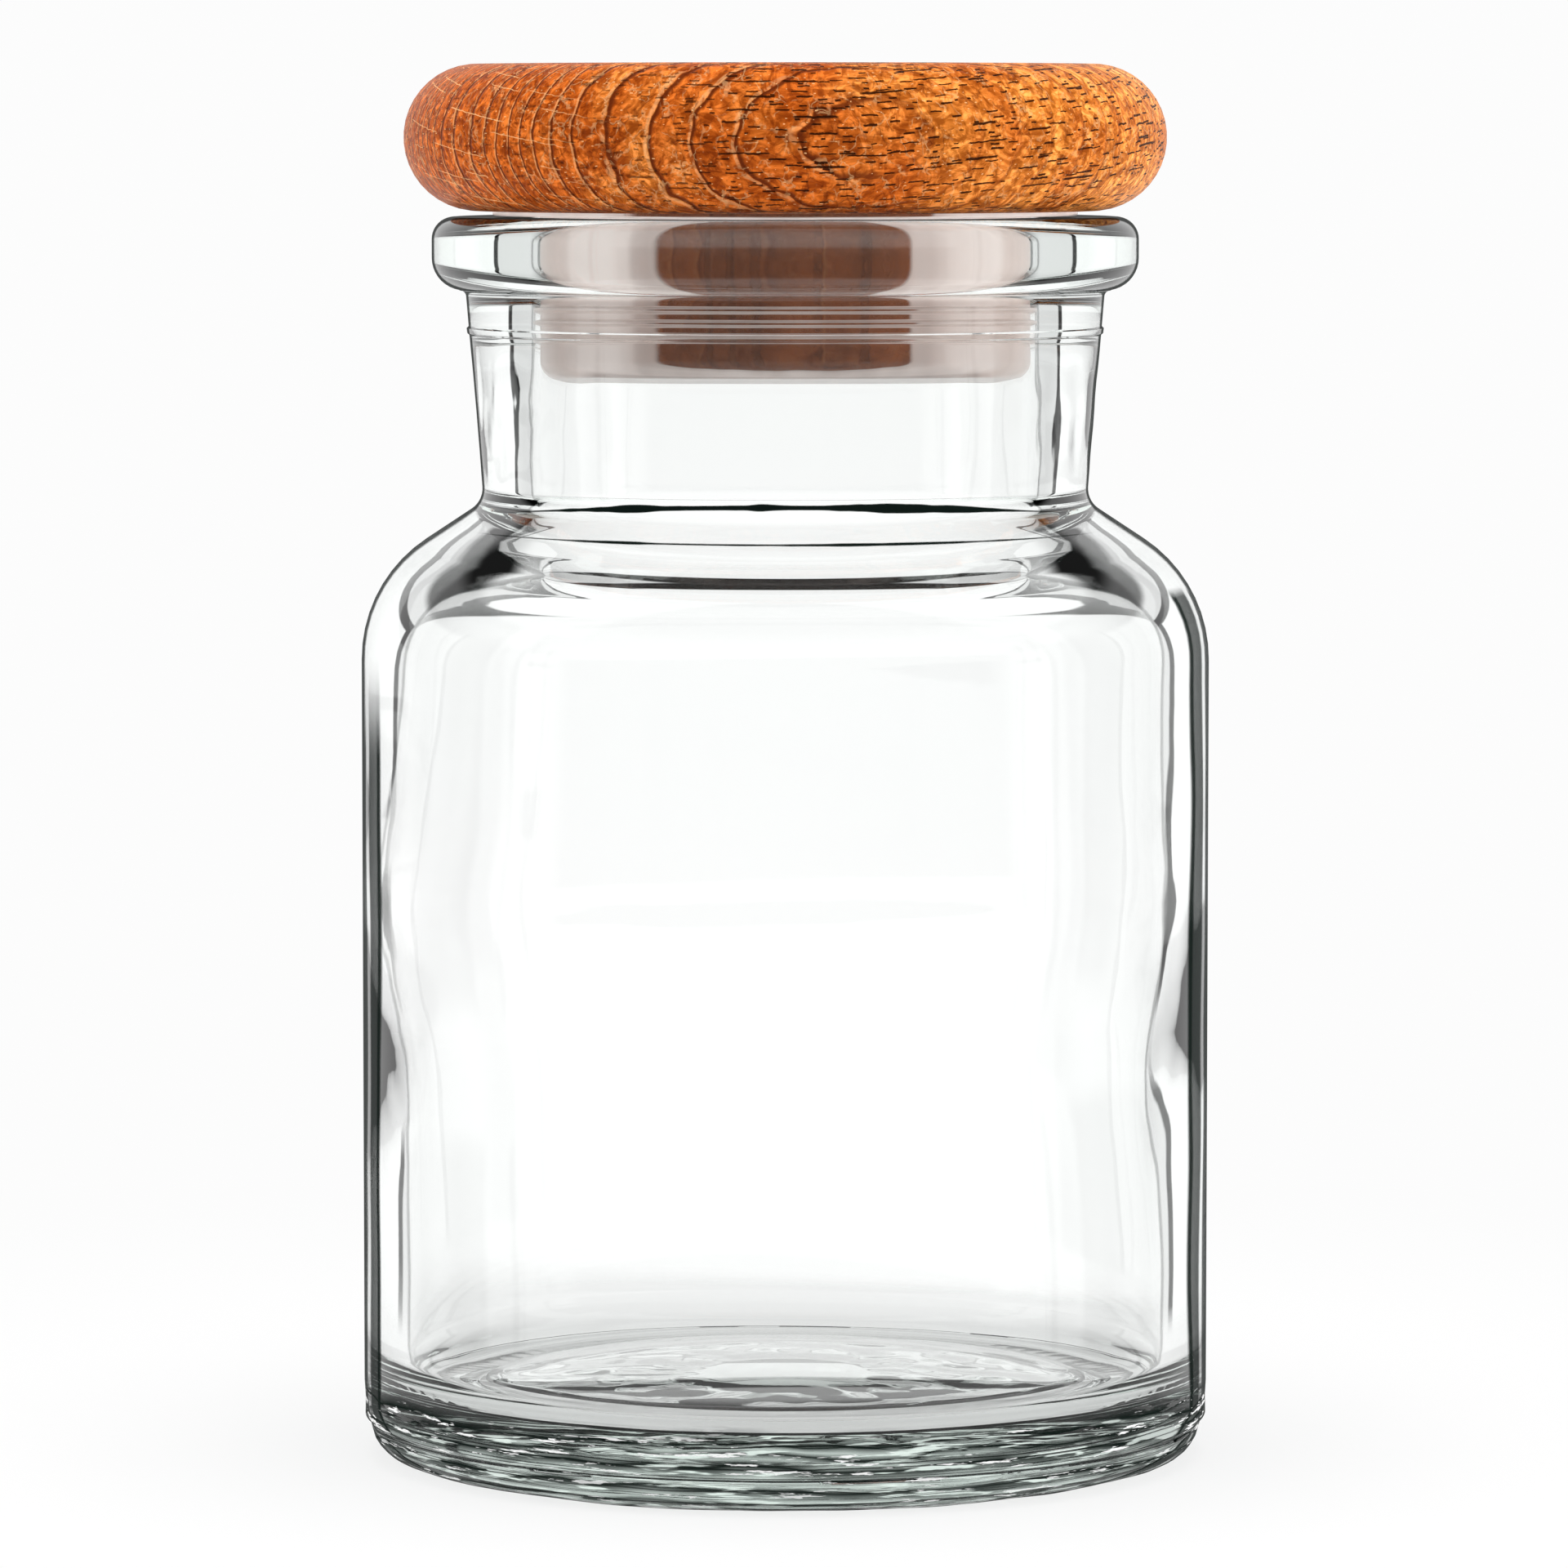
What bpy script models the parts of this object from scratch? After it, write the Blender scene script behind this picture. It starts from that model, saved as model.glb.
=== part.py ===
"""Spice jar of clear glass, closed by a turned wooden lid with a soft stopper.

The jar stands on the XY plane with its axis on Z. Every piece is round, so each one is an
outline of radius and height that a Screw modifier turns about Z. All sizes are in metres.
"""

import math

import bpy
from mathutils import Vector

# Jar, outside
JAR_HEIGHT = 0.0893
BODY_RADIUS = 0.0305
HEEL_RADIUS = 0.0026
HEEL_CHAMFER = 0.0004
SHOULDER_RISE = 0.0058
SHOULDER_FILLET = 0.0103

# Jar, neck and rim
BORE_RADIUS = 0.01825
NECK_LENGTH = 0.0204
NECK_WALL = 0.00365
NECK_FLARE = 0.0012
NECK_FILLET = 0.0018
RIM_OVERHANG = 0.0025
RIM_DEPTH = 0.00525
RIM_TOP_FILLET = 0.0016
RIM_FOOT_FILLET = 0.0020
RIM_ROOT_FILLET = 0.0005
MOUTH_FILLET = 0.0006

# Bead that the neck ring of the mould leaves round the neck
BEAD_DROP = 0.0026
BEAD_HEIGHT = 0.0006
BEAD_PROUD = 0.00015

# Jar, inside
WALL = 0.0031
SHOULDER_WALL = 0.0033
INNER_SHOULDER_FILLET = 0.0070
BORE_FOOT_FILLET = 0.0026
FLOOR_THICKNESS = 0.0052
FLOOR_FILLET = 0.0029
FLOOR_CROWN = 0.0016

# Jar, underside: the ring it stands on, and the push-up inside that ring
BEARING_WIDTH = 0.0034
PUSH_UP_SLOPE = 0.0016
PUSH_UP = 0.0010
PUSH_UP_CROWN = 0.0005

# Stopper: a soft cup with lips and a flange, pushed over the wooden core
FIT_CLEARANCE = 0.00025
FLANGE_OVERLAP = 0.00275
FLANGE_THICKNESS = 0.00035
CUP_DEPTH = 0.0113
CUP_WALL = 0.0013
CUP_FLOOR = 0.0008
CUP_FOOT_FILLET = 0.0009
LIP_COUNT = 3
LIP_PITCH = 0.0010
LIP_REACH = 0.0004
LIP_ROOT = 0.0006
LIP_TIP = 0.0002
LAST_LIP_RISE = 0.0028

# Lid: a disc, and a core under it whose tenon is glued into the disc
LID_OVERHANG = 0.0020
LID_THICKNESS = 0.01005
TENON_RADIUS = 0.0040
TENON_LENGTH = 0.0045
CORE_CHAMFER = 0.0005

SEGMENTS = 48
ARC_STEP = math.radians(22.5)
ON_AXIS = 1e-6

# Places that follow from the sizes
NECK_FOOT = JAR_HEIGHT - NECK_LENGTH
SHOULDER_HEIGHT = NECK_FOOT - SHOULDER_RISE
RIM_FOOT = JAR_HEIGHT - RIM_DEPTH
NECK_FOOT_RADIUS = BORE_RADIUS + NECK_WALL
NECK_TOP_RADIUS = NECK_FOOT_RADIUS + NECK_FLARE
RIM_RADIUS = NECK_TOP_RADIUS + RIM_OVERHANG
LIP_RADIUS = BORE_RADIUS - FIT_CLEARANCE
CUP_RADIUS = LIP_RADIUS - LIP_REACH
CUP_BORE = CUP_RADIUS - CUP_WALL
FLANGE_UNDERSIDE = JAR_HEIGHT + FIT_CLEARANCE
LID_UNDERSIDE = FLANGE_UNDERSIDE + FLANGE_THICKNESS + FIT_CLEARANCE
CUP_FLOOR_TOP = FLANGE_UNDERSIDE - CUP_DEPTH + CUP_FLOOR


def clear_scene():
    """Removes every object and collection that the file opened with."""
    for obj in list(bpy.data.objects):
        bpy.data.objects.remove(obj, do_unlink=True)
    for collection in list(bpy.data.collections):
        bpy.data.collections.remove(collection)


def finish(name, colour, roughness, transmission=0.0, ior=1.45):
    """A Principled material."""
    material = bpy.data.materials.new(name)
    material.use_nodes = True
    shader = material.node_tree.nodes["Principled BSDF"]
    shader.inputs["Base Color"].default_value = (*colour, 1.0)
    shader.inputs["Roughness"].default_value = roughness
    shader.inputs["Metallic"].default_value = 0.0
    shader.inputs["Transmission Weight"].default_value = transmission
    shader.inputs["IOR"].default_value = ior
    return material


def arc(centre, radius, start, end):
    """Points along an arc from one angle to another, at most ARC_STEP apart."""
    steps = max(2, math.ceil(abs(end - start) / ARC_STEP - 0.01))
    angles = [start + (end - start) * i / steps for i in range(steps + 1)]
    return [centre + radius * Vector((math.cos(a), math.sin(a))) for a in angles]


def rounded(corners):
    """An outline through corners of (radius, height, fillet), with each fillet rounded.

    A fillet that its two sides are too short for is cut down to what they have room for.
    """
    points = [Vector(corner[:2]) for corner in corners]
    outline = [points[0]]
    for i in range(1, len(corners) - 1):
        here, fillet = points[i], corners[i][2]
        back, ahead = points[i - 1] - here, points[i + 1] - here
        half_angle = back.angle(ahead) / 2
        if fillet == 0:
            outline.append(here)
            continue
        room = 0.49 * min(back.length, ahead.length)
        reach = min(fillet / math.tan(half_angle), room)
        radius = reach * math.tan(half_angle)
        start = here + reach * back.normalized()
        end = here + reach * ahead.normalized()
        middle = (back.normalized() + ahead.normalized()).normalized()
        centre = here + middle * math.hypot(radius, reach)
        first = math.atan2(start.y - centre.y, start.x - centre.x)
        turn = math.atan2(end.y - centre.y, end.x - centre.x) - first
        turn = (turn + math.pi) % math.tau - math.pi
        outline += arc(centre, radius, first, first + turn)
    outline.append(points[-1])
    return outline


def crowned(foot_radius, foot_height, crown, steps=4):
    """A shallow dome from its foot in to the axis, as a parabola."""
    shares = [1 - i / steps for i in range(steps + 1)]
    return [Vector((foot_radius * s, foot_height + crown * (1 - s * s))) for s in shares]


def turned(name, outline, material, parent, collection):
    """A solid from an outline that starts and ends on the axis and runs down its outer side."""
    kept = [outline[0]]
    kept += [here for last, here in zip(outline, outline[1:]) if (here - last).length > ON_AXIS]
    mesh = bpy.data.meshes.new(name)
    vertices = [(0.0 if p.x < ON_AXIS else p.x, 0.0, p.y) for p in kept]
    mesh.from_pydata(vertices, [(i, i + 1) for i in range(len(vertices) - 1)], [])
    mesh.materials.append(material)
    obj = bpy.data.objects.new(name, mesh)
    obj.parent = parent
    collection.objects.link(obj)
    screw = obj.modifiers.new("turn", "SCREW")
    screw.axis = "Z"
    screw.angle = math.tau
    screw.steps = SEGMENTS
    screw.render_steps = SEGMENTS
    screw.use_merge_vertices = True
    screw.merge_threshold = ON_AXIS * 5
    screw.use_smooth_shade = True
    return obj


def holder(name, height, parent, collection):
    """An empty on the jar's axis, at a height, that carries the pieces of one body."""
    empty = bpy.data.objects.new(name, None)
    empty.empty_display_size = BODY_RADIUS
    empty.parent = parent
    empty.location.z = height - (parent.location.z if parent else 0.0)
    collection.objects.link(empty)
    return empty


def jar_inside():
    """The jar's inner outline, from the middle of the floor up to the top of the rim."""
    inner_radius = BODY_RADIUS - WALL
    slope = Vector((NECK_FOOT_RADIUS - BODY_RADIUS, SHOULDER_RISE)).normalized()
    inward = Vector((-slope.y, slope.x))
    on_slope = Vector((BODY_RADIUS, SHOULDER_HEIGHT)) + SHOULDER_WALL * inward
    inner_shoulder = on_slope + slope * ((inner_radius - on_slope.x) / slope.x)
    bore_foot = on_slope + slope * ((BORE_RADIUS - on_slope.x) / slope.x)
    floor_radius = inner_radius - FLOOR_FILLET
    floor = crowned(floor_radius, FLOOR_THICKNESS, FLOOR_CROWN)[::-1]
    corner_centre = Vector((floor_radius, FLOOR_THICKNESS + FLOOR_FILLET))
    corner = arc(corner_centre, FLOOR_FILLET, -math.pi / 2, 0)
    walls = rounded(
        [
            (inner_radius, FLOOR_THICKNESS + FLOOR_FILLET, 0),
            (inner_radius, inner_shoulder.y, INNER_SHOULDER_FILLET),
            (BORE_RADIUS, bore_foot.y, BORE_FOOT_FILLET),
            (BORE_RADIUS, JAR_HEIGHT, MOUTH_FILLET),
            ((BORE_RADIUS + RIM_RADIUS) / 2, JAR_HEIGHT, 0),
        ]
    )
    return floor + corner + walls


def neck_radius(height):
    """Outer radius of the tapering neck at a height."""
    share = (height - NECK_FOOT) / (RIM_FOOT - NECK_FOOT)
    return NECK_FOOT_RADIUS + NECK_FLARE * share


def jar_outside():
    """The jar's outer outline, from the top of the rim down to the foot of the wall."""
    bead_top = RIM_FOOT - BEAD_DROP
    bead_foot = bead_top - BEAD_HEIGHT
    bead_slope = BEAD_HEIGHT / 4
    return rounded(
        [
            ((BORE_RADIUS + RIM_RADIUS) / 2, JAR_HEIGHT, 0),
            (RIM_RADIUS, JAR_HEIGHT, RIM_TOP_FILLET),
            (RIM_RADIUS, RIM_FOOT, RIM_FOOT_FILLET),
            (NECK_TOP_RADIUS, RIM_FOOT, RIM_ROOT_FILLET),
            (neck_radius(bead_top), bead_top, 0),
            (neck_radius(bead_top) + BEAD_PROUD, bead_top - bead_slope, 0),
            (neck_radius(bead_foot) + BEAD_PROUD, bead_foot + bead_slope, 0),
            (neck_radius(bead_foot), bead_foot, 0),
            (NECK_FOOT_RADIUS, NECK_FOOT, NECK_FILLET),
            (BODY_RADIUS, SHOULDER_HEIGHT, SHOULDER_FILLET),
            (BODY_RADIUS, HEEL_RADIUS + HEEL_CHAMFER, 0),
        ]
    )


def jar_underside():
    """The chamfered heel, the flat ring that the jar stands on, and the push-up inside it."""
    heel_centre = Vector((BODY_RADIUS - HEEL_CHAMFER - HEEL_RADIUS, HEEL_RADIUS))
    ring_inside = heel_centre.x - BEARING_WIDTH
    heel = arc(heel_centre, HEEL_RADIUS, 0, -math.pi / 2)
    dome = crowned(ring_inside - PUSH_UP_SLOPE, PUSH_UP, PUSH_UP_CROWN)
    return heel + [Vector((ring_inside, 0.0))] + dome


def make_jar(material, parent, collection):
    """The glass jar, one piece as it leaves the mould."""
    outline = jar_inside() + jar_outside() + jar_underside()
    return turned("glass_jar", outline, material, parent, collection)


def stopper_lips():
    """Corners of the sealing lips on the cup's side, from the top lip down."""
    corners = []
    for i in reversed(range(LIP_COUNT)):
        middle = LAST_LIP_RISE - CUP_DEPTH + i * LIP_PITCH
        corners += [
            (CUP_RADIUS, middle + LIP_ROOT / 2, 0),
            (LIP_RADIUS, middle + LIP_TIP / 2, 0),
            (LIP_RADIUS, middle - LIP_TIP / 2, 0),
            (CUP_RADIUS, middle - LIP_ROOT / 2, 0),
        ]
    return corners


def make_stopper(material, parent, collection):
    """The soft cup with its flange. Its own zero height is the flange's underside."""
    floor_top = CUP_FLOOR - CUP_DEPTH
    flange_radius = BORE_RADIUS + FLANGE_OVERLAP
    outline = rounded(
        [
            (0.0, floor_top, 0),
            (CUP_BORE, floor_top, 0),
            (CUP_BORE, FLANGE_THICKNESS, 0),
            (flange_radius, FLANGE_THICKNESS, 0),
            (flange_radius, 0.0, 0),
            (CUP_RADIUS, 0.0, 0),
            *stopper_lips(),
            (CUP_RADIUS, -CUP_DEPTH, CUP_FOOT_FILLET),
            (0.0, -CUP_DEPTH, 0),
        ]
    )
    return turned("stopper_cup", outline, material, parent, collection)


def make_core(material, parent, collection):
    """The wooden core in the cup, with its tenon. Its own zero height is the disc's underside."""
    core_radius = CUP_BORE - FIT_CLEARANCE
    shoulder = -FIT_CLEARANCE
    foot = CUP_FLOOR_TOP + FIT_CLEARANCE - LID_UNDERSIDE
    outline = [
        Vector((0.0, TENON_LENGTH)),
        Vector((TENON_RADIUS - CORE_CHAMFER, TENON_LENGTH)),
        Vector((TENON_RADIUS, TENON_LENGTH - CORE_CHAMFER)),
        Vector((TENON_RADIUS, shoulder)),
        Vector((core_radius, shoulder)),
        Vector((core_radius, foot + CORE_CHAMFER)),
        Vector((core_radius - CORE_CHAMFER, foot)),
        Vector((0.0, foot)),
    ]
    return turned("lid_core", outline, material, parent, collection)


def make_disc(material, parent, collection):
    """The wooden disc with its half-round edge, and the socket for the core's tenon."""
    half = LID_THICKNESS / 2
    lid_radius = RIM_RADIUS + LID_OVERHANG
    edge = arc(Vector((lid_radius - half, half)), half, math.pi / 2, -math.pi / 2)
    socket_radius = TENON_RADIUS + FIT_CLEARANCE
    socket_roof = TENON_LENGTH + FIT_CLEARANCE
    socket = [
        Vector((socket_radius, 0.0)),
        Vector((socket_radius, socket_roof)),
        Vector((0.0, socket_roof)),
    ]
    outline = [Vector((0.0, LID_THICKNESS))] + edge + socket
    return turned("lid_disc", outline, material, parent, collection)


def main():
    clear_scene()
    collection = bpy.data.collections.new("spice_jar")
    bpy.context.scene.collection.children.link(collection)
    glass = finish("clear_glass", (0.93, 0.97, 0.95), 0.02, transmission=1.0, ior=1.52)
    oak = finish("oiled_oak", (0.62, 0.27, 0.08), 0.42)
    soft = finish("milky_silicone", (0.55, 0.46, 0.42), 0.35, transmission=0.6, ior=1.41)
    jar = holder("jar", 0.0, None, collection)
    stopper = holder("stopper", FLANGE_UNDERSIDE, None, collection)
    lid = holder("lid", LID_UNDERSIDE, stopper, collection)
    make_jar(glass, jar, collection)
    make_stopper(soft, stopper, collection)
    make_core(oak, lid, collection)
    make_disc(oak, lid, collection)


main()
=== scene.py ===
"""The looks of a stoppered glass spice jar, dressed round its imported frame.

Metres, +Z up, the origin at the middle of the jar's base. Each piece is a half outline, drawn in
the XZ plane and spun about Z, so its place is in its mesh and its object stays at the origin.
"""

import logging
import math
from dataclasses import dataclass
from enum import Enum
from functools import partial, reduce
from typing import NamedTuple

import bmesh
import bpy
from mathutils import Matrix, Vector, noise


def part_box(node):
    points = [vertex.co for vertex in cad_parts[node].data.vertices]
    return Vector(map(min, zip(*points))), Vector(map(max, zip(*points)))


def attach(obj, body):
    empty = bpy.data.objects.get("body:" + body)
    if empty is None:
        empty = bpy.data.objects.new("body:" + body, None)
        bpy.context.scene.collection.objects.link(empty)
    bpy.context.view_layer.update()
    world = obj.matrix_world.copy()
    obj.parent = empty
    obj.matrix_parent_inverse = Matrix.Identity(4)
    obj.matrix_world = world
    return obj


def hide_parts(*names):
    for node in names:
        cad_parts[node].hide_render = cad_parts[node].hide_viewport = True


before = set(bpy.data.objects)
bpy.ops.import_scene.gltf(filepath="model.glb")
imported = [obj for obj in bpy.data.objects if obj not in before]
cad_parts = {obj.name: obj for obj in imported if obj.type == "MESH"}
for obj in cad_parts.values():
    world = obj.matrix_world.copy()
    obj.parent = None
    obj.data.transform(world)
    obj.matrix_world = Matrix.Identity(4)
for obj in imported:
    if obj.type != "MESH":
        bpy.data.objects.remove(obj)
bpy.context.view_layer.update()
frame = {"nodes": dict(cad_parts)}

LOG = logging.getLogger("spice_jar")
MM = 0.001
ON_AXIS = 1e-6
DOUBLINGS = 4

# The oak disc against its solid: how much slimmer it is, and how much lower its rim hangs.
DISC_INSET = 0.24 * MM
DISC_DROP = 0.4 * MM

Axes = tuple[float, float, float]
Range = tuple[float, float]
Colour = tuple[float, float, float]
Levels = tuple[tuple[float, float], ...]
Socket = bpy.types.NodeSocket
Feed = Socket | float | tuple
Feeds = dict[str | int, Feed]

# Ranges round a half that a noise crosses, from the widest to the narrowest.
COMMON: Range = (0.3, 0.7)
CLOSE: Range = (0.35, 0.65)
MIDST: Range = (0.38, 0.62)


class Body(Enum):
    """The frame's moving bodies that pieces ride on."""

    JAR = "jar"
    STOPPER = "stopper"
    LID = "lid"


class Slot(Enum):
    """The record's material slots."""

    GLASS = "glass"
    SILICONE = "silicone"
    OAK = "oak"


class Fade(NamedTuple):
    """A strength that eases from a start to an end while some value crosses a range."""

    low: float
    high: float
    start: float = 0.0
    end: float = 1.0


class Layers(NamedTuple):
    """The finer layers of a noise: how many it has, how strong they are and how far they twist it."""

    count: float = 2.0
    strength: float = 0.5
    twist: float = 0.0


class Corner(NamedTuple):
    """A corner of an outline, in metres, with the fillet that rounds it."""

    radius: float
    height: float
    fillet: float = 0.0


class Outline:
    """Half of a turned piece: a chain of edges in the XZ plane, drawn from its first corner on."""

    def __init__(self, start: Corner, span: float = 1.2 * MM, arc_step: float = 9.0) -> None:
        """Starts the chain.

        Args:
            start: Where the chain begins.
            span: The longest edge on a straight run, in metres.
            arc_step: The largest turn between two edges of an arc, in degrees.
        """
        self.mesh = bmesh.new()
        self.tip = self.mesh.verts.new((start.radius, 0.0, start.height))
        self.span = span
        self.arc_step = math.radians(arc_step)

    def line(self, radius: float, height: float) -> None:
        """Draws a straight run, cut into edges no longer than the span.

        Args:
            radius: Radius of the run's end.
            height: Height of the run's end.
        """
        run = Vector((radius, 0.0, height)) - self.tip.co
        if run.length < ON_AXIS:
            return
        edges = math.ceil(run.length / self.span)
        for _ in range(edges):
            self.tip = bmesh.ops.extrude_vert_indiv(self.mesh, verts=[self.tip])["verts"][0]
            self.tip.co += run / edges

    def arc(self, centre_radius: float, centre_height: float, turn: float) -> None:
        """Sweeps the tip round a centre.

        Args:
            centre_radius: Radius at which the centre lies.
            centre_height: Height at which the centre lies.
            turn: Angle swept, from the radius towards the height, in radians.
        """
        centre = Vector((centre_radius, 0.0, centre_height))
        reach = (self.tip.co - centre).length
        steps = max(2, math.ceil(abs(turn) / self.arc_step), math.ceil(abs(turn) * reach / self.span))
        spun = bmesh.ops.spin(
            self.mesh,
            geom=[self.tip],
            cent=centre,
            axis=(0.0, -1.0, 0.0),
            dvec=(0.0, 0.0, 0.0),
            angle=turn,
            space=Matrix.Identity(4),
            steps=steps,
            use_merge=False,
            use_normal_flip=False,
            use_duplicate=False,
        )
        self.tip = next(item for item in spun["geom_last"] if isinstance(item, bmesh.types.BMVert))

    def through(self, corners: list[Corner]) -> None:
        """Draws the chain on through corners, each rounded by its fillet, to the last of them.

        Args:
            corners: The corners after the tip, in order.
        """
        for here, ahead in zip(corners, corners[1:] + [None]):
            if ahead is None or here.fillet == 0.0:
                self.line(here.radius, here.height)
                continue
            point = Vector((here.radius, here.height))
            back = Vector((self.tip.co.x, self.tip.co.z)) - point
            onward = Vector(ahead[:2]) - point
            half = back.angle(onward) / 2
            reach = here.fillet / math.tan(half)
            start = point + reach * back.normalized()
            middle = (back.normalized() + onward.normalized()).normalized()
            centre = point + middle * math.hypot(here.fillet, reach)
            side = math.copysign(1.0, onward.x * back.y - onward.y * back.x)
            self.line(*start)
            self.arc(*centre, side * (math.pi - 2 * half))

    def dome_in(self, crown: float) -> None:
        """Closes the chain to the axis with a shallow dome.

        Args:
            crown: Rise of the dome's middle over the tip, in metres.
        """
        foot = self.tip.co.x
        bend = (foot * foot + crown * crown) / (2 * crown)
        self.arc(0.0, self.tip.co.z + crown - bend, math.asin(foot / bend))
        self.tip.co.x = 0.0

    def dome_out(self, radius: float, crown: float) -> None:
        """Runs from the axis out over a shallow dome, whose middle is at the tip.

        Args:
            radius: Radius of the dome's foot.
            crown: Rise of the dome's middle over its foot, in metres.
        """
        bend = (radius * radius + crown * crown) / (2 * crown)
        self.arc(0.0, self.tip.co.z - bend, -math.asin(radius / bend))

    def spin(self, name: str, steps: int) -> bpy.types.Object:
        """Turns the chain about Z into a closed piece with its faces pointing out.

        Args:
            name: Name of the new object.
            steps: Columns round the axis.

        Returns:
            The piece, at the origin and smooth shaded.
        """
        bmesh.ops.spin(
            self.mesh,
            geom=self.mesh.verts[:] + self.mesh.edges[:],
            cent=(0.0, 0.0, 0.0),
            axis=(0.0, 0.0, 1.0),
            dvec=(0.0, 0.0, 0.0),
            angle=math.tau / 2**DOUBLINGS,
            space=Matrix.Identity(4),
            steps=steps >> DOUBLINGS,
            use_merge=False,
            use_normal_flip=False,
            use_duplicate=False,
        )
        for doubling in reversed(range(DOUBLINGS)):
            whole = self.mesh.verts[:] + self.mesh.edges[:] + self.mesh.faces[:]
            copied = bmesh.ops.duplicate(self.mesh, geom=whole)
            moved = [item for item in copied["geom"] if isinstance(item, bmesh.types.BMVert)]
            turn = Matrix.Rotation(math.tau / 2 ** (doubling + 1), 3, "Z")
            bmesh.ops.rotate(self.mesh, verts=moved, cent=(0.0, 0.0, 0.0), matrix=turn)
        bmesh.ops.remove_doubles(self.mesh, verts=self.mesh.verts, dist=ON_AXIS)
        bmesh.ops.recalc_face_normals(self.mesh, faces=self.mesh.faces)
        data = bpy.data.meshes.new(name)
        self.mesh.to_mesh(data)
        self.mesh.free()
        data.shade_smooth()
        piece = bpy.data.objects.new(name, data)
        bpy.context.scene.collection.objects.link(piece)
        return piece


class Graph:
    """A node tree, with short calls that add a node, feed its inputs and return its output."""

    def __init__(self, tree: bpy.types.NodeTree) -> None:
        """Empties a tree and takes it over.

        Args:
            tree: The tree of a material or of the world.
        """
        self.tree = tree
        tree.nodes.clear()

    def node(self, kind: str, feeds: Feeds | None = None, **settings: str) -> bpy.types.Node:
        """Adds a node.

        Args:
            kind: The node's type, without its ShaderNode prefix.
            feeds: Values or sockets for its inputs, by name or number.
            settings: The node's own settings.

        Returns:
            The new node.
        """
        made = self.tree.nodes.new("ShaderNode" + kind)
        for key, value in settings.items():
            setattr(made, key, value)
        for key, value in (feeds or {}).items():
            if isinstance(value, Socket):
                self.tree.links.new(value, made.inputs[key])
            else:
                made.inputs[key].default_value = value
        return made

    def math(self, operation: str, first: Feed, second: Feed = 0.0) -> Socket:
        """A Math node's result for one or two inputs."""
        return self.node("Math", {0: first, 1: second}, operation=operation).outputs[0]

    def plus(self, *parts: Feed) -> Socket:
        """The sum of some numbers."""
        return reduce(partial(self.math, "ADD"), parts)

    def minus(self, first: Feed, second: Feed) -> Socket:
        """The first number less the second."""
        return self.math("SUBTRACT", first, second)

    def times(self, *factors: Feed) -> Socket:
        """The product of some numbers."""
        return reduce(partial(self.math, "MULTIPLY"), factors)

    def over(self, first: Feed, second: Feed) -> Socket:
        """The first number divided by the second."""
        return self.math("DIVIDE", first, second)

    def most(self, *values: Feed) -> Socket:
        """The largest of some numbers."""
        return reduce(partial(self.math, "MAXIMUM"), values)

    def place(self) -> Socket:
        """Place on the object, in metres."""
        return self.node("TexCoord").outputs["Object"]

    def facing(self, feeds: Feeds | None = None) -> Socket:
        """Nought where the skin, or a normal fed in, faces the eye, and one where it is seen edge on."""
        return self.node("LayerWeight", feeds).outputs["Facing"]

    def ray(self, kind: str) -> Socket:
        """One for rays of a kind, such as Is Camera Ray, and nought for others."""
        return self.node("LightPath").outputs[kind]

    def vector(self, x: Feed = 0.0, y: Feed = 0.0, z: Feed = 0.0) -> Socket:
        """A vector of three numbers."""
        return self.node("CombineXYZ", {0: x, 1: y, 2: z}).outputs[0]

    def axes(self, vector: Feed) -> list[Socket]:
        """A vector's three numbers."""
        return list(self.node("SeparateXYZ", {0: vector}).outputs)

    def length(self, vector: Feed) -> Socket:
        """A vector's length."""
        return self.node("VectorMath", {0: vector}, operation="LENGTH").outputs["Value"]

    def scaled(self, vector: Feed, factors: Feed) -> Socket:
        """A vector with each axis scaled by its own factor."""
        return self.node("VectorMath", {0: vector, 1: factors}, operation="MULTIPLY").outputs[0]

    def pushed(self, vector: Feed, push: Feed, reach: Axes) -> Socket:
        """A vector moved by another, which is scaled by its reach."""
        return self.node("VectorMath", {0: push, 1: reach, 2: vector}, operation="MULTIPLY_ADD").outputs[0]

    def noise(
        self, place: Feed, scale: float = 1.0, layers: Layers = Layers(), channel: str = "Fac"
    ) -> Socket:
        """Noise over a place.

        Args:
            place: Where it is looked up.
            scale: How many waves it has in a unit of length.
            layers: Its finer layers.
            channel: Fac for one number, or Color for three.

        Returns:
            The noise, from 0 to 1 and mostly near a half.
        """
        feeds = {"Vector": place, "Scale": scale, "Detail": layers.count}
        feeds |= {"Roughness": layers.strength, "Distortion": layers.twist}
        return self.node("TexNoise", feeds).outputs[channel]

    def fade(self, value: Feed, fade: Fade) -> Socket:
        """Eases from a fade's start to its end while a value crosses its range."""
        feeds = {"Value": value, 1: fade.low, 2: fade.high, 3: fade.start, 4: fade.end}
        return self.node("MapRange", feeds, interpolation_type="SMOOTHSTEP").outputs[0]

    def band(self, value: Feed, low: float, high: float, soft: float) -> Socket:
        """One inside a range and nought outside it, with soft ends.

        Args:
            value: What is tested.
            low: The range's lower end.
            high: Its upper end.
            soft: Width over which each end fades.

        Returns:
            The band's strength.
        """
        half = soft / 2
        rise = self.fade(value, Fade(low - half, low + half))
        return self.times(rise, self.fade(value, Fade(high - half, high + half, 1.0, 0.0)))

    def blend(self, factor: Feed, first: Feed, second: Feed, mode: str = "MIX") -> Socket:
        """Mixes two colours.

        Args:
            factor: Share of the second.
            first: First colour.
            second: Second colour.
            mode: How they mix.

        Returns:
            The mixed colour.
        """
        mix = self.node("Mix", {0: factor, 6: first, 7: second}, data_type="RGBA", blend_type=mode)
        return mix.outputs[2]

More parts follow.
